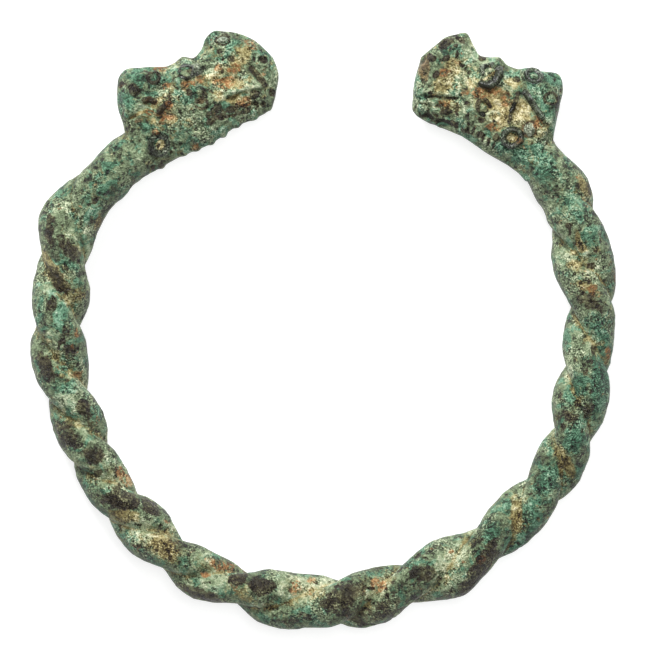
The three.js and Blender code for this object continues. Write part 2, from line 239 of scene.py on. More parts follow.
round_the_ring = [facing(angle)[0] * (HOOP_RADIUS + outside) for angle, outside, _ in WANDER[1:-1]]
right_neck = [in_head(RIGHT_HEAD, *place) for place in reversed(RIGHT_HEAD["neck"])]
left_neck = [in_head(LEFT_HEAD, *place) for place in LEFT_HEAD["neck"]]
middle_line = line_through(np.array(right_neck + round_the_ring + left_neck))
_, _, bar_length = even_steps(middle_line, 2)
print("the bar is", round(float(bar_length)), "mm long")

# %% [markdown]
# ## The twisted bar
#
# At each station the section is the same pair of ovals, turned a little further. A ray from the
# middle meets each oval at one distance, and a soft maximum of the two leaves a groove between
# them with a rounded floor, as worn and dirt-filled metal has. Near the heads the strands sink
# into the plain neck, last of all on the outside of the ring.
#
# Screwing a curve with a modifier would give an even rope. Here the twist reads the table of
# half turns, so that each groove crosses the rim in its own place.

# %% The twisted bar
BAR_STATIONS = 500
BAR_AROUND = 96


def strand_reach(turn):
    """How far from the bar's middle one strand reaches, this far round it."""
    c, s = np.cos(turn), np.sin(turn)
    q = (c / STRAND_RISE) ** 2 + (s / STRAND_SPREAD) ** 2
    m = STRAND_OFFSET * c / STRAND_RISE**2
    return (m + np.sqrt(m * m - q * ((STRAND_OFFSET / STRAND_RISE) ** 2 - 1))) / q


stations, travelled, _ = even_steps(middle_line, BAR_STATIONS, 0.002, 0.998)
angles = np.degrees(np.arctan2(stations[:, 0], stations[:, 1])) % 360
turns = along([(place, i) for i, place in enumerate(HALF_TURNS)], angles)
near_end = np.minimum(turns, len(HALF_TURNS) - 1 - turns)
from_neck = np.minimum(travelled, bar_length - travelled)
tilt = np.where(travelled < bar_length / 2, RIGHT_HEAD["tilt"], 360 - LEFT_HEAD["tilt"])
section_angles = tilt + (angles - tilt) * smooth_step(from_neck, 0, NECK_LENGTH)

around = np.linspace(0, 2 * np.pi, BAR_AROUND, endpoint=False)[None, :]
turn = around + np.pi * turns[:, None]
reach = soft_max(strand_reach(turn - np.pi / 2), strand_reach(turn + np.pi / 2), GROOVE_BLEND)
reach = soft_max(reach, GROOVE_FLOOR, GROOVE_BLEND)
risen = smooth_step(near_end[:, None] + 0.4 * np.cos(around), 0.1, 1)
thickness = along(WANDER, angles, 2)[:, None]
radius = NECK_RADIUS + (thickness * reach - NECK_RADIUS) * risen
out, _ = facing(section_angles)
flat = stations[:, None, :] + (radius * np.cos(around))[..., None] * out.T[:, None, :]
bar_points = np.dstack([flat, radius * np.sin(around) * np.minimum(1, FLATTENED / thickness)])
# 0 on a strand's crest and 1 on the floor of a groove.
crest = STRAND_OFFSET + STRAND_RISE
bar_groove = risen * np.clip((crest - reach) / (crest - GROOVE_FLOOR), 0, 1)
# The strands meet in a crease, which still shows a little way up the plain neck.
CREASE_WIDTH = 0.75
CREASE_DEPTH = 0.25
showing = smooth_step(near_end[:, None] + 0.4 * np.cos(around), -0.1, 0.5)
bar_crease = showing * np.exp(-((np.sin(turn) * radius / CREASE_WIDTH) ** 2))
print("the bar's grid:", bar_points.shape[:2], "and its thickest radius", round(float(radius.max()), 2), "mm")

# %% [markdown]
# ## The plain form of the heads
#
# A head is lofted like a boat: at each station its section is a rounded box between the jaw's
# outline and the crown's. One formula, the superellipse, goes from round at the neck to squarish
# at the cheeks by a single number. The stations lie closer where the outline is steep, so the
# backs of the ears and the muzzle are as fine as the cheeks.

# %% The heads' grids
HEAD_STATIONS = 134
HEAD_AROUND = 2 * BAR_AROUND
EAR_NOTCH = {"at": 1.5, "length": 6.2, "depth": 3.4, "width": 2.0}


def head_sections(head):
    """The grid of one head, muzzle last, and each point's place along and across it."""
    start, tip = head["crown"][0][0], head["crown"][-1][0]
    fine = np.linspace(start, tip, 800)
    edges = fine, along(head["crown"], fine), along(head["jaw"], fine)
    steps = np.linalg.norm([np.diff(edge) for edge in edges], axis=0)
    total = np.concatenate([[0], np.cumsum(steps)])
    shares = (np.arange(HEAD_STATIONS) + 0.5) / HEAD_STATIONS
    at = np.interp(shares * total[-1], total, fine)
    top, bottom = along(head["crown"], at), along(head["jaw"], at)
    closing = np.clip((tip - at) / MUZZLE_ROUNDING, 0, 1)
    width = along(HEAD_WIDTH, at) * np.sqrt(1 - (1 - closing) ** 2)
    power, flare = along(HEAD_WIDTH, at, 2), along(HEAD_WIDTH, at, 3)
    turn = np.linspace(0, 2 * np.pi, 12 * HEAD_AROUND + 1)
    loops = []
    for i in range(HEAD_STATIONS):
        bent = [np.sign(c) * np.abs(c) ** (2 / power[i]) for c in (np.cos(turn), np.sin(turn))]
        across = (top[i] + bottom[i]) / 2 + (top[i] - bottom[i]) / 2 * bent[0]
        side = bent[1] * width[i] * (1 + flare[i] * bent[0])
        loop, _, _ = even_steps(np.stack([across, side], 1), HEAD_AROUND + 1)
        loops.append(loop[:-1])
    loops = np.array(loops)
    across, side = loops[..., 0], loops[..., 1]
    # The notch between the two ears is scooped out of the crown.
    crown = float(along(head["crown"], EAR_NOTCH["at"]))
    past = (at[:, None] - EAR_NOTCH["at"]) / EAR_NOTCH["length"]
    inside = 1 - past**2 - (side / EAR_NOTCH["width"]) ** 2
    floor = crown + EAR_NOTCH["depth"] * (0.2 - np.sqrt(np.clip(inside, 0, 1)))
    scooped = (inside > 0) & (across > 0)
    across = np.where(scooped, -soft_max(-across, -floor, 0.8), across)
    flat = in_head(head, np.broadcast_to(at[:, None], across.shape), across)
    return np.dstack([flat, side]), np.broadcast_to(at[:, None], across.shape), across


right_grid, right_at, right_across = head_sections(RIGHT_HEAD)
left_grid, left_at, left_across = head_sections(LEFT_HEAD)
print("each head's grid:", right_grid.shape[:2])

# %% [markdown]
# ## One closed skin
#
# The three grids are joined into one skin: right muzzle, neck, ring, neck, left muzzle. Each
# head has twice as many points around as the bar, so where they meet, three triangles take the
# place of each square. The same pass unrolls the skin flat, in strips side by side, as a map for
# any picture that is later baked from the finish.

# %% Faces and the unrolled map
corners = [grid.reshape(-1, 3) for grid in (right_grid[::-1], bar_points, left_grid)]
tips = [[*in_head(head, *head["crown"][-1]), 0.0] for head in (RIGHT_HEAD, LEFT_HEAD)]
points = np.vstack([*corners, tips])
firsts = np.cumsum([0] + [len(c) for c in corners])
faces, unrolled = [], []
BORDER = 0.004
BAR_STRIPS = 3
HEAD_COLUMN = 0.73


def grid_faces(first, rows, columns, spans, x_range, y_range):
    """Squares between the rows of a grid, and their corners on the map."""
    row, column = np.meshgrid(spans, np.arange(columns), indexing="ij")
    row, column = row.ravel(), column.ravel()
    corner_rows = np.stack([row, row, row + 1, row + 1], 1)
    corner_columns = np.stack([column, column + 1, column + 1, column], 1)
    faces.extend((first + corner_rows * columns + corner_columns % columns).tolist())
    x = x_range[0] + (x_range[1] - x_range[0]) * (corner_rows - spans[0]) / len(spans)
    y = y_range[0] + (y_range[1] - y_range[0]) * corner_columns / columns
    unrolled.extend(np.stack([x, y], 2).reshape(-1, 2).tolist())


def triangle(three, flip):
    """One triangle, from its corners' point numbers and places on the map."""
    three = three[::-1] if flip else three
    faces.append([corner[0] for corner in three])
    unrolled.extend([list(corner[1:]) for corner in three])


def stitch(many_first, few_first, x_many, x_few, y_range, flip):
    """Triangles from a loop of many points to one of half as many."""
    for j in range(BAR_AROUND):
        m = [many_first + (2 * j + k) % HEAD_AROUND for k in range(3)]
        f = [few_first + (j + k) % BAR_AROUND for k in range(2)]
        y = [y_range[0] + (y_range[1] - y_range[0]) * (j + k) / BAR_AROUND for k in (0, 0.5, 1)]
        for three in (
            [(m[0], x_many, y[0]), (m[1], x_many, y[1]), (f[0], x_few, y[0])],
            [(m[1], x_many, y[1]), (f[1], x_few, y[2]), (f[0], x_few, y[0])],
            [(m[1], x_many, y[1]), (m[2], x_many, y[2]), (f[1], x_few, y[2])],
        ):
            triangle(three, flip)


def close_tip(tip, first, x_loop, x_tip, y_range, flip):
    """Triangles from a loop to the single point at the muzzle's end."""
    for j in range(HEAD_AROUND):
        y = [y_range[0] + (y_range[1] - y_range[0]) * (j + k) / HEAD_AROUND for k in (0, 0.5, 1)]
        here, onward = (first + j, x_loop, y[0]), (first + (j + 1) % HEAD_AROUND, x_loop, y[2])
        triangle([(tip, x_tip, y[1]), onward, here], flip)


for strip in range(BAR_STRIPS):
    ends = [(BAR_STATIONS - 1) * (strip + k) // BAR_STRIPS for k in (0, 1)]
    band = (strip / BAR_STRIPS + BORDER, (strip + 1) / BAR_STRIPS - BORDER)
    grid_faces(firsts[1], BAR_STATIONS, BAR_AROUND, np.arange(*ends), (BORDER, HEAD_COLUMN - BORDER), band)
spans = np.arange(HEAD_STATIONS - 1)
step = (1 - HEAD_COLUMN - 2 * BORDER) / (HEAD_STATIONS + 1)
for side, first in ((0, firsts[0]), (1, firsts[2])):
    band = (side / 2 + BORDER, (side + 1) / 2 - BORDER)
    x = HEAD_COLUMN + BORDER + step * np.array([0, 1, HEAD_STATIONS, HEAD_STATIONS + 1])
    grid_faces(first, HEAD_STATIONS, HEAD_AROUND, spans, (x[1], x[2]), band)
    last = first + (HEAD_STATIONS - 1) * HEAD_AROUND
    if side == 0:
        stitch(last, firsts[1], *x[2:], band, False)
        close_tip(len(points) - 2, first, x[1], x[0], band, False)
    else:
        stitch(first, firsts[2] - BAR_AROUND, x[1], x[0], band, True)
        close_tip(len(points) - 1, last, *x[2:], band, True)
print(len(points), "points,", len(faces), "faces")

# %% [markdown]
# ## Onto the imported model
#
# The surface has to lie exactly where the solid lies. Both come from the same measures, so
# moving the middle of one box to the middle of the other is enough, with the lowest strands
# worn off by about a third of a millimetre.

# %% Place the skin in the frame
RESTING_WEAR = 0.35
solid_low, solid_high = (np.array(corner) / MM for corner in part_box("torc"))
skin_middle = (points.min(0) + points.max(0)) / 2
lift = (solid_high[2] - solid_low[2] - RESTING_WEAR) / 2
move = np.array([*((solid_low + solid_high) / 2 - skin_middle)[:2], lift + solid_low[2]])
points = points + move
print("moved by", move.round(2), "mm")


def skin_normals(at_points):
    """The outward direction at every point of the skin."""
    mesh = bpy.data.meshes.new("measuring")
    mesh.from_pydata(at_points.tolist(), [], faces)
    normals = np.zeros(len(at_points) * 3)
    mesh.vertex_normals.foreach_get("vector", normals)
    bpy.data.meshes.remove(mesh)
    return normals.reshape(-1, 3)


normals = skin_normals(points)
print("normals point out:", bool((normals[firsts[1]] @ (points[firsts[1]] - [*stations[0], lift])) > 0))

# %% [markdown]
# ## The carver's tools
#
# The heads were modelled in wax with few tools: a round end for hollows, a hollow punch for rings
# and a blade for ridges. Each tool here gives two things for every point of a head. One is how
# much of its height it adds there, and the other how much of its colour. Sculpting brushes do the
# same by hand.
#
# Places are the head's own measures, so the same stroke also lands on the far side of the head,
# where the surface faces down.

# %% The carver's tools


def from_middle(at, across, place, long, short, turned=0):
    """The distance from an oval's middle, 1 on its edge."""
    angle = np.radians(turned)
    x, y = at - place[0], across - place[1]
    ahead = (x * np.cos(angle) + y * np.sin(angle)) / long
    aside = (y * np.cos(angle) - x * np.sin(angle)) / short
    return np.hypot(ahead, aside)


def oval(at, across, place, size):
    """A round-ended press. Size: two radii and how far they are turned, in degrees."""
    d = from_middle(at, across, place, *size)
    return np.clip(1 - d * d, 0, 1) ** 1.5, np.clip(1.5 - d, 0, 1)


def bead(at, across, place, size):
    """A drop of wax on an edge, which also stands out of the head's outline."""
    return oval(at, across, place, size)


def ring(at, across, place, size):
    """A hollow punch. Size: two radii, their turn and half the width of the raised line."""
    d = (from_middle(at, across, place, *size[:3]) - 1) * min(size[:2]) / size[3]
    return np.clip(1 - d * d, 0, 1), smooth_step(np.abs(d), 1.15, 0.7)


def from_line(at, across, line):
    """The distance from a line of points, and which side a point is on: crown or jaw."""
    here = np.stack([at, across], -1)
    nearest, above = np.full(at.shape, np.inf), np.zeros(at.shape)
    for a, b in itertools.pairwise(np.array(line)):
        step = b - a
        t = np.clip(((here - a) @ step) / (step @ step), 0, 1)
        away = here - (a + t[..., None] * step)
        distance = np.linalg.norm(away, axis=-1)
        closer = distance < nearest
        nearest = np.where(closer, distance, nearest)
        above = np.where(closer, np.sign(step[0] * away[..., 1] - step[1] * away[..., 0]), above)
    return nearest, above


def rod(at, across, line, size):
    """A rounded ridge along a line. Size: half its width."""
    d = from_line(at, across, line)[0] / size
    return np.clip(1 - d * d, 0, 1), smooth_step(d, 1.25, 0.7)


def ledge(at, across, line, size):
    """A step up to the crown's side of a line, which eases away within this size."""
    distance, above = from_line(at, across, line)
    step = smooth_step(distance * above, -0.3, 0.4) * smooth_step(distance, size, 0.3 * size)
    return step, step


print("tools:", [tool.__name__ for tool in (oval, bead, ring, rod, ledge)])

# %% [markdown]
# ## What is carved on the heads
#
# Each head has an ear block, a ringed eye with a brow, rings on the cheek and at the corner of
# the jaw, a lip over the mouth, and ribs or beads under the jaw. They were all cut by hand, so
# the two heads are alike but nowhere equal. A row says which tool, where, what size, how high in
# millimetres, and what settled there: dark worn metal on what stands up, pale earth in what lies
# deep.

# %% The right head's carving
RIGHT_CARVING = [
    # The ear: a raised block with a ridge along its foot, and two worn rings.
    (ledge, [(-5.7, 4.3), (-3.4, 6), (0, 7.2), (2.9, 8.9), (5.7, 11), (9.6, 13.9)],
     9.09, 0.8, "teal", 0.55),
    (rod, [(5.1, 9.4), (3.8, 8.9), (1.3, 7.7), (-1.5, 6.4)], 0.8, 0.85, "rim", 1),
    (ring, (5.1, 13.7), (1.7, 1.2, -19, 0.5), 0.75, "rim", 0.95),
    (oval, (5.1, 13.7), (1, 0.6, -19), 0.3, "pale", 0.6),
    (ring, (-0.9, 11.4), (1.5, 1.4, -31, 0.5), 0.55, "dark", 0.75),
    (oval, (-0.7, 11.7), (1, 0.9, -31), 0.45, "pale", 0.5),
    (oval, (-1.3, 9.7), (1.3, 0.6, -31), 0.4, "pale", 0.45),
    (oval, (-4.2, 9.2), (0.8, 0.9, -31), -0.3, "dark", 0.9),
    # Two hollows full of pale earth, and a beaded ridge between them.
    (oval, (4, 5.3), (2.9, 1.7, 89), -0.6, "cream", 0.8),
    (oval, (9.2, 4.3), (2.6, 2, 9), -0.6, "cream", 0.75),
    (oval, (7, 3.1), (2, 1.4, 29), -0.35, "cream", 0.8),
    (rod, [(6.5, 8.5), (6.1, 7.2), (5.8, 5.4), (5.6, 3.9), (4.6, 1.4)], 0.55, 0.65, "dark", 0.9),
    (rod, [(5.8, 5.9), (5.7, 3.8)], 0.42, 0.3, "rim", 0.8),
    # A glossy bead, and the ring with a dot at the corner of the jaw.
    (oval, (-0.3, 2.5), (1.75, 1.55, 89), 0.95, "grey", 1),
    (ring, (-0.3, 2.5), (1.8, 1.6, 89, 0.35), -0.3, "brown", 0.7),
    (ring, (2.2, -1.3), (2.05, 1.95, -61, 0.78), 1.15, "rim", 1),
    (oval, (2.1, -1.4), (1.3, 1.2, -31), 0.1, "ochre", 1),
    (oval, (5.4, -3.4), (1.1, 1.2, -31), 0.4, "dark", 0.75),
    # The eye: a thick dark lid below, a small arc above, and a pale ball between them.
    (rod, [(13.2, 11.2), (12.5, 9.9), (12.4, 8.2), (13.2, 6.5), (14.9, 5.9)], 1, 1.15, "rim", 1),
    (rod, [(16.4, 8.4), (17.1, 9.7), (16.6, 10.8), (15.4, 11.3)], 0.65, 0.8, "rim", 0.95),
    (oval, (15.4, 9.2), (1.7, 1.2, -71), 0.5, "pale", 0.4),
    (rod, [(15.1, 7.3), (14.2, 9.1), (13.6, 10.7)], 0.4, 0.25, "cream", 0.9),
    (oval, (14.6, 12.2), (1.3, 0.8, -11), 0.7, "teal", 0.5),
    (oval, (18.1, 11.9), (1, 0.6, -31), 0.55, "dark", 0.75),
    (rod, [(10.9, 9), (9.5, 8.1)], 0.7, 0.4, "pale", 0.45),
    (oval, (14.5, 3.5), (2.1, 1.1, -6), -0.35, "rust", 0.75),
    (oval, (12.1, 5.6), (2.4, 0.7, -36), -0.3, "ochre", 0.95),
    (oval, (7.9, 5.4), (0.9, 1.5, -31), 0.2, "rust", 0.75),
    # The ring on the cheek, nearly worn away.
    (rod, [(12.3, -0.1), (13.3, 0.9), (13.3, 2.2), (11.9, 3.1), (10.6, 2.5)], 0.55, 0.6, "dark", 0.95),
    (oval, (11.7, 1.4), (1, 0.9, -31), 0.4, "teal", 0.7),
    (oval, (11.1, -0.2), (0.7, 1, 69), 0.1, "rim", 0.8),
    (ring, (8.7, 0.8), (1.3, 1.2, -31, 0.4), 0.35, "pale", 0.7),
    (oval, (10.7, -1.7), (1.2, 0.8, -31), -0.2, "dark", 0.75),
    # The muzzle: an upper lip over the mouth, a recess in the cheek, and a plain front.
    # The lip's pale ledge and edge are painted highlight; the dark mouth line is painted shadow and dirt.
    (ledge, [(17.4, 0.5), (20.9, -0.9), (23.4, -2.1), (25.9, -3.7)], 3.8, 0.42, "pale", 0.55),
    (rod, [(25.7, -2.8), (23.3, -1.7), (20.2, -0.2)], 0.4, 0.3, "pale", 0.85),
    (rod, [(24.5, -3.6), (22, -2), (18.4, -0.2)], 0.5, -0.1, "dark", 0.55),
    (rod, [(24, 1.2), (24.2, -0.7), (25.8, -2.9)], 0.5, 0.3, "pale", 0.6),
    (oval, (23.2, 0.6), (2.6, 1.5, -51), -0.45, "ochre", 0.8),
    (oval, (22.9, 5.1), (2.2, 3, -31), -0.3, "earth", 0.7),
    (rod, [(20.9, 4.5), (19.4, 2.9), (18.5, 0.5)], 0.5, 0.3, "pale", 0.6),
    (oval, (28.7, 1.9), (1.4, 3, -19), -0.15, "brown", 1),
    (oval, (29.8, 2.8), (0.7, 1.6, -16), 0.1, "grey", 0.8),
    (rod, [(29.3, 6.1), (27.1, 4.4), (26.3, 1.2), (26.1, -1.9), (26.2, -3.4)], 0.5, 0.35, "pale", 0.4),
    (oval, (24.2, -6.7), (1.7, 1.4, -31), 0.4, "pale", 0.4),
    (ring, (24.2, -6.9), (1.8, 1.5, -31, 0.35), -0.15, "dark", 0.5),
    # Lumps in the mouth and along the lower lip.
    (oval, (22.6, -4.1), (0.9, 0.7, -31), 0.45, "pale", 0.4),
    (oval, (20.5, -2.4), (0.9, 0.7, -31), 0.35, "rust", 0.7),
    (oval, (18.4, -2), (1, 0.8, -31), 0.5, "pale", 0.5),
    (oval, (16.9, -0.7), (1.3, 1.1, -31), 0.6, "pale", 0.4),
    (oval, (15.5, 0.1), (0.8, 0.9, -31), 0.35, "dark", 0.8),
    (oval, (19, -4.1), (1.8, 0.9, -31), 0.3, "dark", 0.85),
    (oval, (21.1, -4.1), (0.9, 0.6, -31), -0.2, "dark", 0.7),
    (oval, (16.7, -3), (1.1, 0.9, -31), 0.45, "ochre", 0.5),
    (oval, (22, -7.4), (1.3, 0.6, -1), -0.3, "dark", 0.9),
    (oval, (21.8, -5.4), (1.1, 0.8, -11), 0.3, "teal", 0.5),
    (rod, [(20.8, -7.6), (18.2, -6.6), (15.2, -5.5)], 0.6, -0.2, "dark", 0.65),
    # Pits, and dark scabs where the crust is gone.
    (oval, (28.8, 5.3), (1.3, 0.9, 4), 0.3, "dark", 1),
    (oval, (27.6, 10), (2.3, 0.9, -61), -0.15, "dark", 0.95),
    (oval, (24.3, 12.9), (1.4, 0.9, 14), -0.2, "dark", 1),
    (oval, (25.9, 12.8), (0.6, 0.5, -31), -0.3, "dark", 0.8),
    (oval, (25.5, 6.8), (1.2, 0.8, -61), 0.3, "dark", 0.95),
    (oval, (23.5, 9.1), (0.6, 1, -31), 0.15, "dark", 0.95),
    (oval, (25.5, 2.3), (0.8, 1.1, -1), 0.25, "dark", 0.9),
    (oval, (28.3, 8.4), (1, 0.6, -51), -0.2, "dark", 0.7),
    (oval, (25.2, 10.8), (0.9, 0.9, 0), 0.1, "dark", 0.65),
    (oval, (24.3, -2.1), (0.9, 0.5, -31), -0.15, "dark", 0.7),
    (oval, (23.9, 3.8), (1.3, 1, -31), 0.1, "rust", 0.75),
    (oval, (17.8, 1.8), (0.8, 1.2, -31), 0.1, "rust", 0.6),
    (oval, (8.7, 11.4), (0.8, 0.9, -31), 0.2, "dark", 0.8),
    (oval, (12.6, -5.7), (1.4, 0.8, -11), 0, "dark", 0.75),
    (oval, (8.9, -4.6), (1.5, 0.8, -11), 0, "dark", 0.7),
    (oval, (7.9, -2.6), (1.4, 0.8, -41), 0.1, "rust", 0.7),
]
# Short ribs under the jaw, with dark grooves between them.
for rib in range(6):
    at, foot = 13.3 - 1.5 * rib, -4.15 - 0.085 * rib
    RIGHT_CARVING += [
        (rod, [(at, foot), (at - 0.2, foot - 1.25)], 0.5, 0.4, "pale", 0.35),
        (rod, [(at - 0.7, foot), (at - 1, foot - 1.25)], 0.45, -0.15, "dark", 0.6),
    ]
print(len(RIGHT_CARVING), "strokes on the right head")

# %% The left head's carving
LEFT_CARVING = [
    # The ear: a raised block, worn ridges along its foot, and two discs.
    (ledge, [(-6.2, 7.2), (-2.9, 8.1), (1, 8.6), (3.8, 10.1), (7.2, 12), (10.5, 14.8)],
     8.61, 0.6, "teal", 0.4),
    (oval, (0.6, 12.9), (1.7, 1.6, -31), 0.4, "dark", 0.75),
    (oval, (0.5, 12.9), (1.1, 1, -31), 0.2, "teal", 0.9),
    (ring, (6, 12.8), (1.4, 1.2, -31, 0.5), 0.5, "dark", 0.7),
    (rod, [(1.5, 9.1), (2.8, 8.8), (3.3, 8)], 0.9, 0.45, "dark", 0.95),
    (rod, [(2.9, 5.2), (4.4, 5.6), (6.3, 6.2)], 0.7, 0.5, "dark", 0.95),
    (rod, [(-3.7, 7.4), (-1.3, 7.3), (0.5, 6.9)], 0.5, -0.2, "ochre", 0.8),
    (rod, [(1.2, 5.2), (3.2, 5.6)], 0.5, 0.3, "pale", 0.5),
    # Two dark lobes make the eye, with the brow over them.
    (oval, (13.5, 10.1), (2, 2, -31), 0.8, "brown", 0.5),
    (ring, (13.5, 10.1), (1.6, 1.6, -31, 0.5), 0.5, "rim", 0.75),
    (oval, (16.1, 9.9), (1.4, 1.5, -31), 0.8, "grey", 0.8),
    (rod, [(15.4, 8.4), (16.7, 8.3), (17.5, 9.2)], 0.5, 0.35, "rim", 0.75),
    (oval, (14.5, 9.5), (0.5, 1.2, -51), -0.2, "pale", 0.6),
    (oval, (11, 8.8), (1.7, 1.6, -31), 0.6, "teal", 0.6),
    (ring, (10.9, 8.7), (1.8, 1.7, -31, 0.35), -0.3, "dark", 0.6),
    (oval, (14.9, 12.3), (2.2, 0.7, -21), 0.4, "pale", 0.5),
    # A boss on the cheek with the rest of a ring below it.
    (oval, (14.5, 4), (2.1, 1.6, -51), 0.7, "dark", 0.5),
    (ring, (12.6, 1.7), (1.4, 1.3, -31, 0.5), 0.4, "dark", 0.65),
    (oval, (12.7, 2.3), (0.9, 0.7, -31), 0.1, "brown", 0.9),
    # The ring at the corner of the jaw keeps pale earth in its middle.
    (ring, (-1, -1.5), (2, 2.2, -31, 0.95), 0.8, "rim", 0.55),
    (oval, (-0.6, -1.9), (1.2, 1.3, -31), 0.35, "cream", 1),
    (oval, (0, 1.5), (1.2, 0.9, -31), 0.2, "rust", 0.75),
    (oval, (-1.4, 3.8), (1.4, 1.3, -31), 0.5, "teal", 0.6),
    # The muzzle: a recess in the cheek, the lips, and a slanting front with a nostril.
    (oval, (21.6, 2), (4.2, 1.6, -41), -0.55, "cream", 0.7),
    (ledge, [(14.5, 0.3), (18, -0.6), (21.9, -0.7), (25.2, -1.9)], 3.4, 0.5, "pale", 0.45),
    (rod, [(17.6, 0.4), (20.8, 0), (24.2, -0.3)], 0.6, 0.35, "pale", 0.8),
    # The wide dark band under the lip is painted shade.
    (rod, [(13.2, -1.9), (16.3, -3.3), (19.5, -4.7), (23.1, -5.4)], 1.6, -0.3, "dark", 0.55),
    (rod, [(27.3, 2.7), (27.8, 0.3), (28.1, -2.2)], 0.75, 0.3, "dark", 0.9),
    (rod, [(28.5, 2.3), (28.9, 0.1), (29.1, -2.5)], 0.5, -0.3, "pale", 0.5),
    (oval, (30.8, 3.2), (1.1, 1, -31), -0.5, "dark", 1),
    (ring, (30.8, 3.2), (1.5, 1.4, -31, 0.35), 0.25, "pale", 0.5),
    (oval, (28.7, -4.8), (0.8, 0.9, -31), -0.5, "dark", 0.9),
    (oval, (25.3, -6.3), (0.9, 1.1, -31), -0.35, "dark", 0.9),
    (oval, (24.6, -2.9), (1.4, 1.1, -1), 0.3, "dark", 0.9),
    (oval, (21.7, -3.1), (1.9, 1.2, -31), -0.2, "ochre", 0.9),
    (oval, (22.3, -2.9), (1, 0.8, -31), 0.2, "rust", 0.8),
    (rod, [(21.4, 13.1), (24, 12.8), (27.2, 11.4), (29.4, 8.3), (30.6, 4.6), (31.1, 1.3)],
     0.6, 0.3, "pale", 0.45),
    # Round beads under the jaw, which show in the outline.
    (bead, (21.6, -7.9), (1.3, 1.1, -1), 0.45, "pale", 0.5),
    (bead, (17.3, -7.4), (1.3, 1.1, -1), 0.6, "pale", 0.5),
    (bead, (13.4, -7), (1.3, 1.1, -1), 0.6, "pale", 0.5),
    (bead, (10, -6.9), (1.2, 1, -1), 0.5, "dark", 0.4),
    (bead, (6.1, -7), (1.2, 1, -1), 0.35, "rust", 0.5),
    (bead, (2.9, -6.5), (1.2, 1, -1), 0.3, "dark", 0.4),
    (bead, (-3.2, -5.9), (1.2, 1, -1), 0.4, "dark", 0.6),
    # Pits, and dark scabs where the crust is gone.
    (oval, (2.4, 8.8), (1.3, 0.9, -31), 0.1, "brown", 0.6),
    (oval, (24.1, 7.3), (1.1, 0.9, -31), -0.2, "dark", 0.9),
    (oval, (24.9, 12.5), (1.6, 1.2, -31), 0.3, "grey", 0.8),
    (ring, (24.9, 12.5), (1.7, 1.4, -31, 0.4), -0.2, "dark", 0.6),
    (oval, (22.6, 10.4), (1.4, 0.8, -31), -0.1, "dark", 0.6),
    (oval, (15.1, -1.1), (1.8, 0.9, -1), 0, "dark", 0.85),
    (oval, (18.2, -3.5), (1.6, 1, -31), 0, "dark", 0.8),
    (oval, (12.5, -3), (1.6, 0.9, -1), 0, "dark", 0.8),
    (oval, (11.6, 5.5), (1, 1.1, -31), -0.2, "dark", 0.7),
    (oval, (7.1, 7.2), (0.8, 1, -31), -0.2, "dark", 0.7),
    (oval, (3.3, 7.5), (0.8, 0.9, -31), -0.15, "brown", 0.8),
    (oval, (-1.2, 15.7), (0.6, 1.6, 49), -0.2, "dark", 0.7),
    (oval, (-5.7, 5.9), (1.2, 0.7, -31), -0.2, "dark", 0.6),
    (oval, (-2.4, 5.9), (1.3, 0.6, -11), -0.1, "brown", 0.8),
]
print(len(LEFT_CARVING), "strokes on the left head")
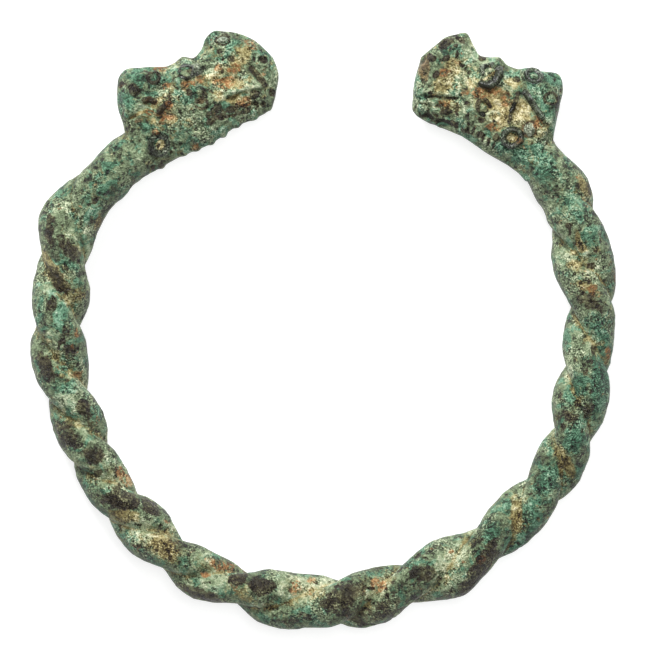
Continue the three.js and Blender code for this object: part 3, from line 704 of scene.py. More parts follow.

# %% [markdown]
# ## Where the patina changes
#
# Green is only the main colour. Blue-green lies where water stood, pale green where the skin is
# powdery, cream where earth stuck, orange where iron in the soil touched the metal, dark brown
# where the skin is worn through to the older layer, and slate on edges that were rubbed bare. On
# the glossy bosses the slate is also painted sheen.
# The lists give the larger patches on the side that lies up: place, strength and size. On the bar,
# a few wide, faint dark patches over the lower half of the ring, most on its outside, are painted
# shade. The noise of the material breaks the patches' edges, and covers the rest on its own.

# %% Patches on the heads
# Along the head, across it, strength, two radii and, where it is turned, by how many degrees.
RIGHT_STAINS = {
    "earth": [
        (12, 5, 0.34, 15, 9), (7.2, 3.8, 0.62, 10.5, 5.7, -6), (19.6, 5.3, 0.45, 7.2, 4.3),
        (2.4, 12.4, 0.25, 3.8, 2.4), (23, 12.9, 0.4, 3.4, 1.9), (20.1, -2.4, 0.45, 6.2, 2.4, -10),
        (6.7, -0.5, 0.5, 7.2, 2.4), (-1.9, 3.8, 0.5, 2.9, 3.4),
    ],
    "cream": [
        (16.9, 5.1, 0.6, 2.2, 2, -31), (6.6, 1.2, 0.7, 2.2, 1.6, -31), (2.7, 5.6, 0.7, 2.6, 1.8, 29),
        (10.6, 3.1, 0.7, 2.6, 1.6, -11), (18.5, 7.7, 0.4, 1.6, 2.4, -31), (8.3, 1.6, 0.6, 1.6, 1.2, -31),
    ],
    "rust": [
        (14.8, 3.4, 0.8, 2.2, 1.2, -11), (13.1, 3.6, 0.8, 1.6, 0.9, -31), (8, 5.7, 0.85, 1.5, 1.6, 89),
        (8, -1.9, 0.8, 2.2, 1.2, -41), (-1.3, 5.2, 0.8, 1.4, 1.6, 89), (23.9, 3.8, 0.8, 1.8, 1.3, -31),
        (20.4, -2.8, 0.7, 1.8, 1.2, -31), (17.5, 2, 0.6, 1.3, 1.2, -31), (0.4, -1.3, 0.6, 1.6, 1.2, -31),
        (11, 5.8, 0.6, 2, 1, -51), (21.9, 7.5, 0.4, 2, 1.6, -31), (12.5, 5.6, 0.7, 3.2, 1, -41),
    ],
    "ochre": [
        (22.8, 1.2, 0.8, 3, 2.4, -51), (22.6, 6.7, 0.6, 2.4, 2.6, -31), (8.9, 9.9, 0.7, 1.6, 2.2, 89),
        (11.9, 5.2, 0.8, 3, 1.2, -31), (6.5, -0.2, 0.6, 2, 1.6, -31), (19, -2.3, 0.6, 2.4, 1.2, -31),
        (-2, 0.2, 0.5, 2.4, 1.4, -31), (15.7, 8, 0.4, 1.2, 1.6, -31),
    ],
    "teal": [
        (1, 15.8, 0.77, 4.5, 2.4, -10), (-1.9, 10.1, 0.59, 2.4, 1.5), (10.3, 11.5, 0.77, 2.7, 1.5),
        (11, 3.1, 0.77, 1.8, 1.2), (26.3, 9.3, 0.77, 2.4, 2.1), (8.6, 11, 0.34, 1.5, 1.5),
        (12, 2.4, 0.59, 1.5, 0.9), (-1.9, -4.3, 0.77, 4.2, 2.1), (2.9, -4.8, 0.77, 2.4, 1.5),
        (-4.8, -1, 0.59, 3.6, 1.8, 10), (18.7, 7.7, 0.26, 1.5, 1.2), (21.1, 4.3, 0.26, 1.8, 1.5),
        (28.2, 8.1, 0.51, 1.5, 1.5),
    ],
    "pale": [
        (13, 5, 0.42, 18, 12), (19.1, 12, 0.68, 3.6, 2.1, 10), (15.8, -1, 0.42, 2.1, 1.2),
        (27.3, -2.9, 0.51, 1.8, 2.7), (23.5, -4.8, 0.42, 2.4, 1.5), (-3.4, 6.2, 0.51, 2.7, 1.5, 20),
        (5.3, 12.4, 0.34, 2.4, 1.5), (26.3, 1.9, 0.34, 1.2, 3, 20), (11.5, 13.4, 0.51, 2.7, 0.9),
        (28.2, 10.5, 0.34, 1.2, 1.8, 20), (29.7, 6.7, 0.42, 1.2, 1.5),
    ],
    "grey": [
        (-5.3, 1.4, 0.42, 2.1, 1.2), (-7.2, -0.5, 0.34, 1.8, 1.2),
    ],
}
LEFT_STAINS = {
    "earth": [
        (3.4, 5.3, 0.5, 8.1, 3.8), (13.4, 7.2, 0.5, 5.7, 2.4), (22, 4.8, 0.55, 6.2, 3.8),
        (21.5, -1.9, 0.45, 4.8, 2.4), (4.3, 12.9, 0.3, 4.8, 2.4), (8.6, 13.9, 0.4, 3.4, 1.9),
        (-1, -0.5, 0.3, 4.3, 2.9), (7.2, 0, 0.3, 7.2, 2.4), (26.8, 8.1, 0.5, 4.3, 1.9),
        (-4.3, -3.8, 0.4, 4.8, 1.9),
    ],
    "rust": [
        (7.9, 9.7, 0.8, 1.5, 1, 29), (12.8, 7, 0.85, 1.9, 1.1, -11), (15.8, 7.1, 0.85, 1.3, 1, -31),
        (3.4, 3.4, 0.9, 2, 1.5, -31), (1, 6.1, 0.8, 1.2, 0.8, -31), (23.7, 4.8, 0.9, 1.8, 1.1, -11),
        (20.2, 3.1, 0.95, 2.4, 1.4, -21), (20.6, 7.1, 0.85, 1.2, 0.9, -31), (29.9, 8, 0.8, 2.4, 1.3, -66),
        (8.5, 14.1, 0.75, 1.6, 0.7, -31), (6, 5.3, 0.7, 1.3, 1.6, -31), (29.1, 0.5, 0.5, 1, 1.8, -81),
        (21.1, -3.7, 0.7, 2, 1.4, -31), (5.8, -6.3, 0.6, 1.6, 0.9, -1),
    ],
    "cream": [
        (17.8, 5.8, 0.7, 2.6, 1.6, -31), (16.8, 0.8, 0.6, 2, 1.5, -31), (4.9, 7.5, 0.7, 2.6, 1, 14),
        (4.4, 1.8, 0.7, 1.8, 1, 9), (0.7, 4, 0.5, 2, 1, -11), (11.3, 14.2, 0.5, 3, 1, -21),
        (25.3, 0.8, 0.5, 1.8, 1.2, -31),
    ],
    "ochre": [
        (27.5, 6.9, 0.8, 1.8, 2.4, -31), (24.7, 5.6, 0.7, 1.8, 2.4, -1), (17.5, 2, 0.6, 2.2, 1.2, -31),
        (20.3, -1.7, 0.7, 3, 1.4, -31), (15.9, 5.9, 0.6, 1.8, 1.2, -31), (3.5, 6.9, 0.6, 2.4, 1.3, 9),
        (7.9, 7.7, 0.5, 1.4, 1.8, -31), (7.5, -0.5, 0.5, 2.4, 1.5, -31), (13.1, 12.1, 0.4, 1.6, 1.2, -31),
    ],
    "pale": [
        (14, 5, 0.36, 18, 12), (16.8, 1.2, 0.77, 3.6, 1.8), (19.1, 11.5, 0.51, 3.6, 1.8, 10),
        (18.7, 7.2, 0.59, 3, 1.8), (21.1, 11.5, 0.34, 2.4, 1.5), (25.4, 14.8, 0.42, 1.8, 1.5),
        (28.7, 12, 0.42, 1.8, 1.8, 40), (-8.1, 5.3, 0.34, 4.2, 1.8, 10), (9.1, 12.4, 0.34, 2.1, 1.5),
        (28.2, -4.1, 0.34, 1.8, 1.5), (14.4, 4.3, 0.42, 1.2, 2.1),
    ],
    "teal": [
        (-2.4, 12, 0.68, 2.4, 3.6, 30), (5.7, 12, 0.68, 2.4, 1.2), (-1.4, 4.3, 0.68, 2.4, 2.4),
        (4.8, -1.7, 0.51, 4.2, 2.4), (12.4, 5.3, 0.51, 2.1, 1.2), (-9.6, 0, 0.68, 5.4, 2.4),
        (26.3, 11.5, 0.51, 2.4, 1.8), (1.9, 16.3, 0.51, 3, 1.8), (29.2, 5.7, 0.42, 2.4, 2.4),
        (22.5, 6.9, 0.51, 1.5, 1.2), (-4.8, 3.4, 0.26, 3, 2.4), (29.7, 0.5, 0.34, 2.4, 2.4),
    ],
    "grey": [
        (24.9, 13.4, 0.59, 2.4, 1.8), (14.4, 5.3, 0.51, 1.5, 1.8), (30.6, 12, 0.51, 1.5, 1.8, 40),
        (11, 3.8, 0.34, 1.2, 1.2),
    ],
}
print(sum(len(rows) for head in (RIGHT_STAINS, LEFT_STAINS) for rows in head.values()), "patches")

# %% Patches on the bar
# Degrees from the gap and outwards from the hoop's radius; the rest as on the heads.
BAR_STAINS = {
    "dark": [
        # The first row, wide and faint round the bottom of the ring, is painted shade.
        (165, 0, 0.36, 15, 8), (57.3, 7.1, 0.54, 1.4, 0.8, 20), (59.1, -0.5, 0.54, 5.7, 0.5, 4),
        (66.6, -1.3, 0.81, 0.9, 0.9), (83.7, -1.1, 0.68, 2.1, 4.3, -40), (94.1, 0, 0.81, 1.3, 0.8),
        (96.6, -0.8, 0.72, 1, 0.6), (99.1, -1.6, 0.72, 1.1, 0.9), (102.7, 0.5, 0.72, 0.9, 0.6),
        (106.6, 1.3, 0.63, 2.9, 1.9), (109.1, -2.4, 0.77, 0.9, 2.1), (105.9, -5.9, 0.54, 1.9, 0.9),
        (75.5, -6.7, 0.45, 3.8, 0.8, -10), (87.7, 2.5, 0.36, 2.9, 1, 40),
        (70.5, -4.8, 0.32, 2.9, 1.1, -20), (109.3, -2.7, 0.77, 1.4, 1), (112.3, -3.2, 0.54, 1.8, 1.1, 20),
        (106.1, -1.9, 0.63, 1, 1.4), (147.1, 3.3, 0.9, 8.1, 2.1, 24), (155.3, 0.9, 0.72, 0.9, 0.8),
        (158.2, -1.9, 0.68, 4, 2.5, -20), (167.9, 3.9, 0.81, 1, 1.3), (173.9, -1.1, 0.63, 2.3, 2.5),
        (143.9, -1.9, 0.45, 1.9, 0.6, 10), (171.4, 4.9, 0.5, 5.7, 1.8, 5), (154.9, 5.7, 0.45, 5.7, 1.8),
        (150.7, -5.1, 0.36, 3.8, 0.8), (126, 0.5, 0.63, 0.8, 0.6), (130.7, -1.1, 0.54, 0.8, 0.6),
        (113.9, 2.9, 0.45, 2.4, 1.1, 20), (172.3, -2.4, 0.54, 2.5, 1.9), (176.9, -0.3, 0.81, 5.7, 3.3, 20),
        (194, -1.3, 0.72, 3.8, 2.5), (199.4, -1.6, 0.72, 2.9, 1.8, 20), (211.2, -2.7, 0.54, 1.9, 1, 10),
        (205.1, 5.5, 0.68, 6.7, 1.8, 8), (224.7, -4.8, 0.68, 3.3, 1.8, 10),
        (229.9, -1.1, 0.77, 4.9, 2.5, 38), (232.6, 2.5, 0.54, 2.9, 1.4, 30), (172.3, 4.1, 0.54, 5.7, 2.5),
        (185.8, 4.9, 0.54, 5.7, 1.4, 20), (219.4, 4.1, 0.45, 3.8, 1, 10), (237.6, -0.3, 0.63, 1.1, 1.5),
        (210.8, 4.1, 0.36, 2.4, 1.5, -20), (231.9, -0.3, 0.72, 2.3, 3.3, 20),
        (241.7, -1.6, 0.68, 3.7, 2.5, 30), (248, 2.3, 0.63, 5.3, 2.7, 25), (249.2, -4.5, 0.54, 4, 1.4),
        (252.4, -3.9, 0.9, 2.3, 1.8), (262.5, 3.1, 0.68, 4.4, 2.1, 20), (265.1, -2.9, 0.54, 3.8, 2.1, 20),
        (270, -2.4, 0.54, 2.1, 1.4), (275.6, 0.9, 0.63, 2.5, 1.4), (272.4, 2.7, 0.45, 1.8, 0.8),
        (280.4, 0.5, 0.63, 2.1, 5.7, -44), (287.4, -0.3, 0.68, 2.3, 3.8, -30),
        (289.2, 5.5, 0.81, 3.7, 1.1, 30), (292.1, 6.5, 0.81, 1, 1), (294.2, -2.8, 0.54, 2.1, 1.1),
        (299.6, -1.1, 0.45, 1.5, 1.4), (283.5, -0.8, 0.72, 1, 0.8), (235.6, -3.2, 0.81, 0.8, 0.6),
        # The six wide, faint rows from (96.2, 0.1) to (198, 4.1) are painted shade over the ring's lower
        # half.
        (284.2, -3.9, 0.45, 2.9, 1.1, 10), (238.1, 3.3, 0.36, 1.9, 1), (96.2, 0.1, 0.22, 12, 4),
        (119.3, 0.1, 0.28, 16, 4), (145, 4.1, 0.42, 12.8, 2.7, 10), (166.4, 4.1, 0.48, 12, 3.2, 5),
        (173.7, 2.5, 0.45, 9.6, 4), (198, 4.1, 0.35, 12.8, 2.1), (226.5, -2.3, 0.3, 6.4, 2.4, 30),
        (235.3, 1.7, 0.3, 4.8, 2.4),
    ],
    "pale": [
        (77, 0.9, 0.63, 2.5, 2.7, 30), (73.4, -5.1, 0.81, 3.4, 1.4, -14), (99.1, -5.2, 0.81, 4.4, 1, 4),
        (91.9, -0.3, 0.45, 2.9, 1.4), (52.7, 4.1, 0.27, 3.8, 1.5), (67, 4.9, 0.32, 3.8, 1.8),
        (79.1, 4.1, 0.36, 2.9, 1.5), (89.1, -3.1, 0.45, 5.7, 1.4), (150.7, -2.4, 0.77, 5.6, 3.3),
        (159.2, 2.5, 0.54, 1.8, 3.3, -40), (168.9, -1.3, 0.81, 4.4, 2.7, 10), (166, -4, 0.63, 3.8, 1.1),
        (130, -3.1, 0.63, 3.8, 1, 10), (117.8, -3.1, 0.45, 3.8, 1.1), (139.3, 1.7, 0.36, 2.9, 1.4, 20),
        (143.5, -4.8, 0.63, 2.9, 0.8), (185.8, -2.4, 0.85, 5.7, 3.4, 10), (190.3, -4, 0.81, 4.2, 2.3),
        (203.7, 0.9, 0.72, 5.3, 2.9, 10), (208, -2.7, 0.72, 3.8, 1.8), (222.4, 0.1, 0.77, 4.2, 4),
        (217.9, -4.8, 0.9, 4.8, 0.9, 10), (234, -2.7, 0.81, 3, 2.5, 30),
        (179.4, -4.3, 0.63, 3.8, 1.1, 20), (201.5, -4.3, 0.63, 3.8, 1, 10),
        (235.3, -1.2, 0.72, 3.3, 2.1, 30), (239, -4, 0.72, 3.8, 2.1, 20),
        (241.8, 1.7, 0.63, 2.1, 5.2, -40), (244.6, -6.4, 0.63, 4.8, 1.1),
        (254.7, -0.3, 0.72, 2.1, 4.2, -30), (255.6, -4.8, 0.63, 3.8, 1.4),
        (268.1, -0.3, 0.63, 1.9, 4.2, -50), (288.1, -4.8, 0.72, 2.5, 1.8),
        (295.2, 5.3, 0.63, 4.4, 1.9, -20), (290.4, 1.5, 0.54, 2.9, 2.5), (293.1, -2.3, 0.45, 1.9, 1.1),
        (261.7, -5.5, 0.45, 5.7, 1), (284.5, 2.5, 0.36, 1.9, 1.9), (233.1, -5.5, 0.72, 5.7, 1, -10),
    ],
    "rust": [
        (81.6, 0.3, 0.68, 1.9, 1.4, 40), (79.5, 6.4, 0.63, 1.6, 0.6), (94.8, 3.7, 0.72, 2.1, 0.8),
        (77, -1.1, 0.45, 1.1, 0.6), (58.4, 7.7, 0.45, 1.4, 0.6), (146, 1.6, 0.9, 1, 0.9),
        (149.2, -0.3, 0.72, 1.3, 1), (150.4, -3.9, 0.63, 1.1, 0.6), (168.2, -2.1, 0.9, 1.9, 2.1),
        (122.1, -0.7, 0.36, 1, 0.6), (159.9, -0.3, 0.45, 0.8, 1.9, -30), (120.1, -5.9, 0.54, 1, 0.5),
        (168.9, -2.7, 0.81, 1.4, 1.3), (186.8, -2.3, 0.9, 1.9, 1.9), (183.3, -4.5, 0.63, 1.6, 1, 20),
        (182.7, -1.8, 0.54, 1.3, 0.8), (198.7, 2, 0.72, 0.9, 0.8), (199.5, 0.4, 0.72, 1.1, 0.9),
        (206.2, 0.4, 0.81, 1.4, 1), (203.7, -2.8, 0.9, 3.3, 1.4, 8), (220.8, 4.3, 0.81, 0.9, 0.6),
        (219.5, -4.8, 0.63, 1.1, 0.6), (192.3, 2.9, 0.36, 1.5, 1.8), (177.1, -3.5, 0.36, 1.4, 0.8),
        (234.3, -4.5, 0.9, 3.3, 1.3, 8), (248.5, -6, 0.72, 1.4, 0.6), (259.9, -3.9, 0.63, 1.6, 1.4),
        (266, -3.9, 0.72, 1, 0.8), (269.5, -4.8, 0.72, 1.4, 0.8), (280.9, -1.9, 0.45, 0.8, 2.9, -40),
        (247.1, -4.8, 0.45, 1.1, 0.6),
    ],
    "ochre": [
        (60.9, 6.3, 0.9, 2.9, 1.3), (70.9, -0.3, 0.81, 2.9, 1), (75.5, -2.7, 0.63, 1.9, 2.9, -30),
        (80.5, -1.1, 0.72, 1.4, 3.8, -35), (85.5, 4.1, 0.36, 5.7, 1.4, 36), (111.2, -5.6, 0.45, 2.3, 1.4),
        (73.4, 3.3, 0.45, 2.3, 1), (118.6, 0.9, 0.81, 1.5, 5.2, -34), (134.3, -0.7, 0.81, 1.5, 6.3, -46),
        (154.2, 1.7, 0.45, 6.7, 1.5, 30), (165.7, -2.7, 0.54, 2.3, 1.4), (145, -2.7, 0.45, 2.9, 1.1),
        (196.5, 2.5, 0.54, 3.8, 1.4, -10), (216.8, 0.4, 0.81, 4.2, 2.7), (227.2, 0.9, 0.81, 1.8, 3.8, -40),
        (182.3, -1.9, 0.54, 2.3, 1.9), (222.2, 2.5, 0.45, 3.8, 1.5), (199.4, -3.5, 0.45, 1.9, 1.1),
        (281.8, 1.7, 0.9, 1.5, 7.1, -46), (278.1, -4.8, 0.63, 2.5, 1.8, -30), (295.6, -4, 0.81, 2.3, 0.8),
        (259.9, -1.5, 0.54, 1.8, 2.9), (239.6, 0.1, 0.45, 1.5, 2.9, -30), (267.4, 1.7, 0.45, 1.5, 3.8, -46),
    ],
    "teal": [
        (52.7, 0.1, 0.63, 6.7, 3.3), (63.4, 2.5, 0.54, 5.7, 3.4), (91.9, 1.7, 0.63, 5.7, 2.1, 10),
        (101.6, 2.5, 0.9, 8.6, 2.5, 6), (103.4, -3.5, 0.72, 5.7, 1.9), (110.5, 0.1, 0.63, 2.9, 2.9),
        (86.2, 0.1, 0.54, 4.8, 1.5, 20), (83.4, 4.9, 0.45, 4.8, 1.1), (113.6, 0.3, 0.81, 4, 3.3),
        (123.9, -0.3, 0.72, 6.3, 3.3), (135.7, 3.3, 0.9, 7.7, 2.5, 4), (131.4, 0.5, 0.72, 3.8, 2.3),
        (140.7, -1.5, 0.81, 3.8, 2.1, 20), (121.4, 4.1, 0.63, 5.7, 1.5), (107.1, 1.7, 0.63, 3.3, 2.9),
        (164.9, 1.7, 0.36, 3.8, 1.8, 30), (191.5, -0.7, 0.36, 2.9, 1.9), (215.1, 4.1, 0.45, 4.8, 1.4),
        (236.5, 2.5, 0.45, 2.9, 1.9), (220.8, -4.3, 0.36, 1.9, 1.1), (258.1, 0.9, 0.54, 3.8, 2.5),
        (273.1, -1.1, 0.72, 4.4, 2.1), (277.4, 0.9, 0.72, 2.5, 1.9), (273.8, 4.1, 0.54, 5.7, 1.5),
        (285.2, -1.1, 0.54, 2.9, 2.9, -30), (296.1, -1.5, 0.9, 2.9, 1.1), (280.9, -4.3, 0.45, 3.8, 1.5),
        (264.5, 0.1, 0.36, 3.8, 1.5), (298.8, 0.9, 0.54, 2.9, 1.4),
    ],
    "mint": [
        (256, 0, 0.34, 16, 7), (282, 0, 0.34, 14, 7), (102, 0, 0.24, 18, 7),
        (299, 0, 0.3, 9, 7), (272.7, -0.8, 0.81, 2.9, 1.4, 10), (277, -2.4, 0.72, 1.9, 1.1),
        (278.2, 0.9, 0.72, 1, 1), (296.1, -1.3, 0.81, 1.9, 0.8), (271, -4.8, 0.54, 2.9, 0.8),
        (126.4, -2.4, 0.36, 1.9, 0.8), (104.1, 1.7, 0.27, 1.9, 1),
    ],
    "earth": [
        (76.3, -0.7, 0.4, 5.6, 4), (82, 0.9, 0.3, 4.8, 4.8), (118.6, 0.9, 0.4, 3.2, 4),
        (135, 0.1, 0.4, 4.8, 4, -40), (150.7, -1.5, 0.45, 7.2, 3.2), (169.2, -1.5, 0.55, 5.6, 3.2),
        (185.1, -2.3, 0.6, 6.4, 3.5), (199.4, 0.1, 0.5, 5.6, 3.2), (206.5, -1.5, 0.5, 4.8, 3.2),
        (217.9, 0.1, 0.6, 8.8, 4), (228.7, 0.1, 0.45, 4.8, 3.2), (235.1, -3.1, 0.5, 4, 3.2),
        (235.3, -3.1, 0.5, 4.8, 2.7), (241.7, 0.1, 0.3, 3.2, 4), (261, -2.3, 0.35, 4.8, 3.2),
        (280.9, 0.1, 0.5, 4, 5.6, -40), (266.7, -3.1, 0.3, 4.8, 2.4),
    ],
}
FINISHES = ["dark", "rim", "pale", "rust", "ochre", "teal", "mint", "cream", "grey", "brown", "earth"]
print(sum(len(rows) for rows in BAR_STAINS.values()), "patches")

# %% [markdown]
# ## Lumps left by casting and corrosion
#
# No part of the surface is smooth. Wax, mould and corrosion leave low hills of several sizes.
# Blender's noise textures could push the mesh with a modifier. Here the same kind of noise is
# made in a few lines: random numbers on a lattice, joined smoothly.

# %% Lumps


def lumps(at_points, size, seed):
    """Smooth random hills about this many millimetres across, from -1 to 1."""
    table = np.random.default_rng(seed).uniform(-1, 1, (64, 64, 64))
    cell = at_points / size
    low = np.floor(cell).astype(int)
    t = cell - low
    t = t * t * (3 - 2 * t)
    total = np.zeros(len(at_points))
    for corner in itertools.product((0, 1), repeat=3):
        weight = np.prod(np.where(corner, t, 1 - t), axis=1)
        i, j, k = ((low + corner) % 64).T
        total += weight * table[i, j, k]
    return total


# Size and height of the hills, in millimetres.
HILLS = [(9, 0.22), (4.2, 0.16), (2.1, 0.08), (1.1, 0.04)]
hills = sum(height * lumps(points, size, seed) for seed, (size, height) in enumerate(HILLS))
pits = smooth_step(lumps(points, 1.5, 21) + 0.35 * lumps(points, 8, 22), 0.62, 0.95)
PIT_DEPTH = 0.22
# How far a stroke's line, a patch's edge on a head and one on the bar stray, in millimetres.
STROKE_STRAY, PATCH_STRAY, BAR_PATCH_STRAY = 0.21, 0.525, 0.56
print("hills from", hills.min().round(2), "to", hills.max().round(2), "mm")
print("pitted:", round(100 * pits.mean(), 1), "%")

# %% Carve the heads and lay the patches
height = hills - PIT_DEPTH * pits
patches = {finish: np.zeros(len(points)) for finish in FINISHES}
# The heads are painted lighter than the bar, the right one most: partly a paler powdery crust,
# partly painted sheen.
powdery = np.zeros(len(points))
patches["dark"] = 0.8 * pits
facing_side = smooth_step(np.abs(normals[:, 2]), 0.1, 0.5)
upper = smooth_step(normals[:, 2], -0.05, 0.15)
wavering = np.stack([lumps(points, 1.6, 31), lumps(points, 1.6, 32)], 1)
uneven = 1 + 0.3 * lumps(points, 1.8, 33)
# Folding hills over at zero makes round warts with sharp valleys between them.
warts = 0.6 - 2.2 * np.abs(lumps(points, 2.3, 34)) - 1.0 * np.abs(lumps(points, 1.1, 35))
# The ground is cut back, so that what stands up reaches the solid's face and no further.
GROUND_CUT = 0.5
HEAD_WARTS = 0.26
BAR_WARTS = 0.1


def stain(finish, indices, amount):
    patches[finish][indices] = np.maximum(patches[finish][indices], amount)


for grid_index, head_at, head_across, carving, stains, powder in (
    (0, right_at[::-1], right_across[::-1], RIGHT_CARVING, RIGHT_STAINS, 1.0),
    (2, left_at, left_across, LEFT_CARVING, LEFT_STAINS, 0.6),
):
    indices = np.arange(firsts[grid_index], firsts[grid_index + 1])
    true_place = np.stack([head_at.ravel(), head_across.ravel()], 1)
    powdery[indices] = powder * smooth_step(head_at.ravel(), -6, 0)
    at, across = (true_place + STROKE_STRAY * wavering[indices]).T
    carved, beads = np.full(len(indices), -GROUND_CUT), np.zeros(len(indices))
    for tool, place, size, rise, finish, amount in carving:
        shape, colour = tool(at, across, place, size)
        if tool is bead:
            beads += rise * shape
        else:
            carved += rise * shape
        stain(finish, indices, amount * colour * (0.4 + 0.6 * upper[indices]))
    height[indices] += beads + (carved * uneven[indices] + HEAD_WARTS * warts[indices]) * facing_side[indices]
    strayed = true_place + PATCH_STRAY * wavering[indices]
    for finish, rows in stains.items():
        for x, y, amount, *size in rows:
            _, colour = oval(*strayed.T, (x, y), size)
            stain(finish, indices, amount * colour * upper[indices])

ring_middle = move[:2]
spokes = points[:, :2] - ring_middle
angle_from_gap = np.arctan2(spokes[:, 0], spokes[:, 1]) % (2 * np.pi)
round_ring = np.stack([angle_from_gap * HOOP_RADIUS, np.linalg.norm(spokes, axis=1) - HOOP_RADIUS], 1)
bar_indices = np.arange(firsts[1], firsts[2])
height[bar_indices] += BAR_WARTS * warts[bar_indices] - CREASE_DEPTH * bar_crease.ravel()
crease, groove = np.zeros((2, len(points)))
crease[bar_indices], groove[bar_indices] = bar_crease.ravel(), bar_groove.ravel()
strayed = round_ring[bar_indices] + BAR_PATCH_STRAY * wavering[bar_indices]
for finish, rows in BAR_STAINS.items():
    for angle, outside, amount, *size in rows:
        _, colour = oval(*strayed.T, (np.radians(angle) * HOOP_RADIUS, outside), size)
        stain(finish, bar_indices, amount * colour * upper[bar_indices])
for finish, values in patches.items():
    print(finish, "on", round(100 * float((values > 0.5).mean()), 1), "% of the points")

# %% [markdown]
# ## Pushing the skin
#
# Every point moves along its normal by the height worked out for it. Nothing may sink below the
# table, so the lowest points are held at zero, which also gives the small flats on which the torc
# rests. What lies deeper than its neighbours is then measured twice. Over a broad reach, earth
# gathers in what lies deep and touching wears what stands up. Over a narrow reach, the measure is
# painted shade: small hollows are painted darker and small rises lighter.

# %% Push the skin out and in
# Nothing stands higher than this above the solid's own top, and what would is rounded off.
HEADROOM = 0.2
highest = solid_high[2] + HEADROOM
points = points + normals * height[:, None]
points[:, 2] = np.maximum(highest - soft_max(highest - points[:, 2], 0, 0.5), 0)
normals = skin_normals(points)


def blurred(values, passes):
    """Each point's values, mixed with its neighbours' again and again."""
    edges = {tuple(sorted(pair)) for face in faces for pair in zip(face, face[1:] + face[:1])}
    ends = np.array(sorted(edges))
    count = np.bincount(ends.ravel(), minlength=len(values))[:, None]
    for _ in range(passes):
        total = np.zeros_like(values)
        for column in range(values.shape[1]):
            total[:, column] = np.bincount(ends[:, 0], values[ends[:, 1], column], len(values))
            total[:, column] += np.bincount(ends[:, 1], values[ends[:, 0], column], len(values))
        values = 0.5 * values + 0.5 * total / count
    return values


# The narrow measure is painted shade in the tone; the broad one marks earth and wear.
HOLLOW_DEPTH = 0.12
fine = np.einsum("ij,ij->i", blurred(points, 8) - points, normals)
broad = np.einsum("ij,ij->i", blurred(points, 60) - points, normals)
deep = np.clip(fine / HOLLOW_DEPTH, -1, 1)
sunk = np.clip(broad / (4 * HOLLOW_DEPTH), -1, 1)
print("deep:", deep.mean().round(3), "sunk:", sunk.mean().round(3))

# %% The mesh
mesh = bpy.data.meshes.new("torc_surface")
mesh.from_pydata((points * MM).tolist(), [], faces)
mesh.shade_smooth()
unrolled_map = mesh.uv_layers.new(name="OFBake")
unrolled_map.data.foreach_set("uv", np.array(unrolled, float).ravel())
forms = {"deep": deep, "sunk": sunk, "crease": crease, "groove": groove, "powdery": powdery}
for name, values in {**patches, **forms}.items():
    layer = mesh.attributes.new(name=name, type="FLOAT", domain="POINT")
    layer.data.foreach_set("value", values.astype(np.float32))
torc = bpy.data.objects.new("torc_surface", mesh)
bpy.context.collection.objects.link(torc)
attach(torc, "root")
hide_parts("torc")
print(len(mesh.polygons), "faces,", sum(len(face) - 2 for face in faces), "triangles")

# %% [markdown]
# ## A small language for materials
#
# A material is a web of nodes. Clicking it together is quick for five nodes and hopeless for a
# hundred, so two small classes write it. `Nodes` adds any node, with its settings and what goes
# into its sockets. `Wire` stands for a socket that gives a number, and understands the signs of
# arithmetic, so that `1 - mask` adds the Math node that it needs.

# %% Nodes and wires


class Wire:
    """A number that a node gives out."""

    def __init__(self, nodes, socket):
        self.nodes, self.socket = nodes, socket

    def sum(self, operation, first, second):
        return self.nodes.add("ShaderNodeMath", {"operation": operation}, {0: first, 1: second})

    def __add__(self, other):
        return self.sum("ADD", self, other)

    def __radd__(self, other):
        return self.sum("ADD", other, self)

    def __sub__(self, other):
        return self.sum("SUBTRACT", self, other)

    def __rsub__(self, other):
        return self.sum("SUBTRACT", other, self)

    def __mul__(self, other):
        return self.sum("MULTIPLY", self, other)

    def __rmul__(self, other):
        return self.sum("MULTIPLY", other, self)


class Nodes:
    """Adds nodes to one material."""

    def __init__(self, material):
        material.use_nodes = True
        self.tree = material.node_tree
        self.shader = self.tree.nodes["Principled BSDF"]

    def fill(self, node, sockets):
        for name, value in sockets.items():
            if isinstance(value, Wire):
                self.tree.links.new(value.socket, node.inputs[name])
            else:
                node.inputs[name].default_value = value

    def add(self, kind, settings, sockets, give=0):
        node = self.tree.nodes.new(kind)
        for name, value in settings.items():
            if name == "stops":
                while len(node.color_ramp.elements) < len(value):
                    node.color_ramp.elements.new(1)
                for element, (place, colour) in zip(node.color_ramp.elements, value):
                    element.position, element.color = place, colour
            else:
                setattr(node, name, value)
        self.fill(node, sockets)
        return Wire(self, node.outputs[give])


def paint_colour(red, green, blue):
    """A colour read off a screen, 0 to 255, as the linear values that nodes use."""
    shares = [c / 255 for c in (red, green, blue)]
    return (*(s / 12.92 if s < 0.04045 else ((s + 0.055) / 1.055) ** 2.4 for s in shares), 1)


print("mid green:", [round(c, 3) for c in paint_colour(112, 126, 98)])

# %% [markdown]
# ## Masks for the bronze
#
# Every change of colour or gloss starts as a mask, a number from 0 to 1 over the surface. Some
# come from noise at one size, some from the patches and hollows stored with the mesh. A patch
# alone would look painted, so noise is added to it before it is cut: its edge then follows the
# grain.

# %% Masks
bronze = bpy.data.materials.new("bronze")
web = Nodes(bronze)
here = web.add("ShaderNodeTexCoord", {}, {}, give="Object")


def noise(size, detail=3.0, rough=0.55, stray=0.0, shift=0.0):
    """Noise with features about this many millimetres across, centred on a half."""
    sockets = {"Scale": 1 / (size * MM), "Detail": detail, "Roughness": rough, "Distortion": stray}
    place = web.add("ShaderNodeVectorMath", {"operation": "ADD"}, {0: here, 1: (shift, 0.3 * shift, 0)})
    return web.add("ShaderNodeTexNoise", {}, {"Vector": place, **sockets})


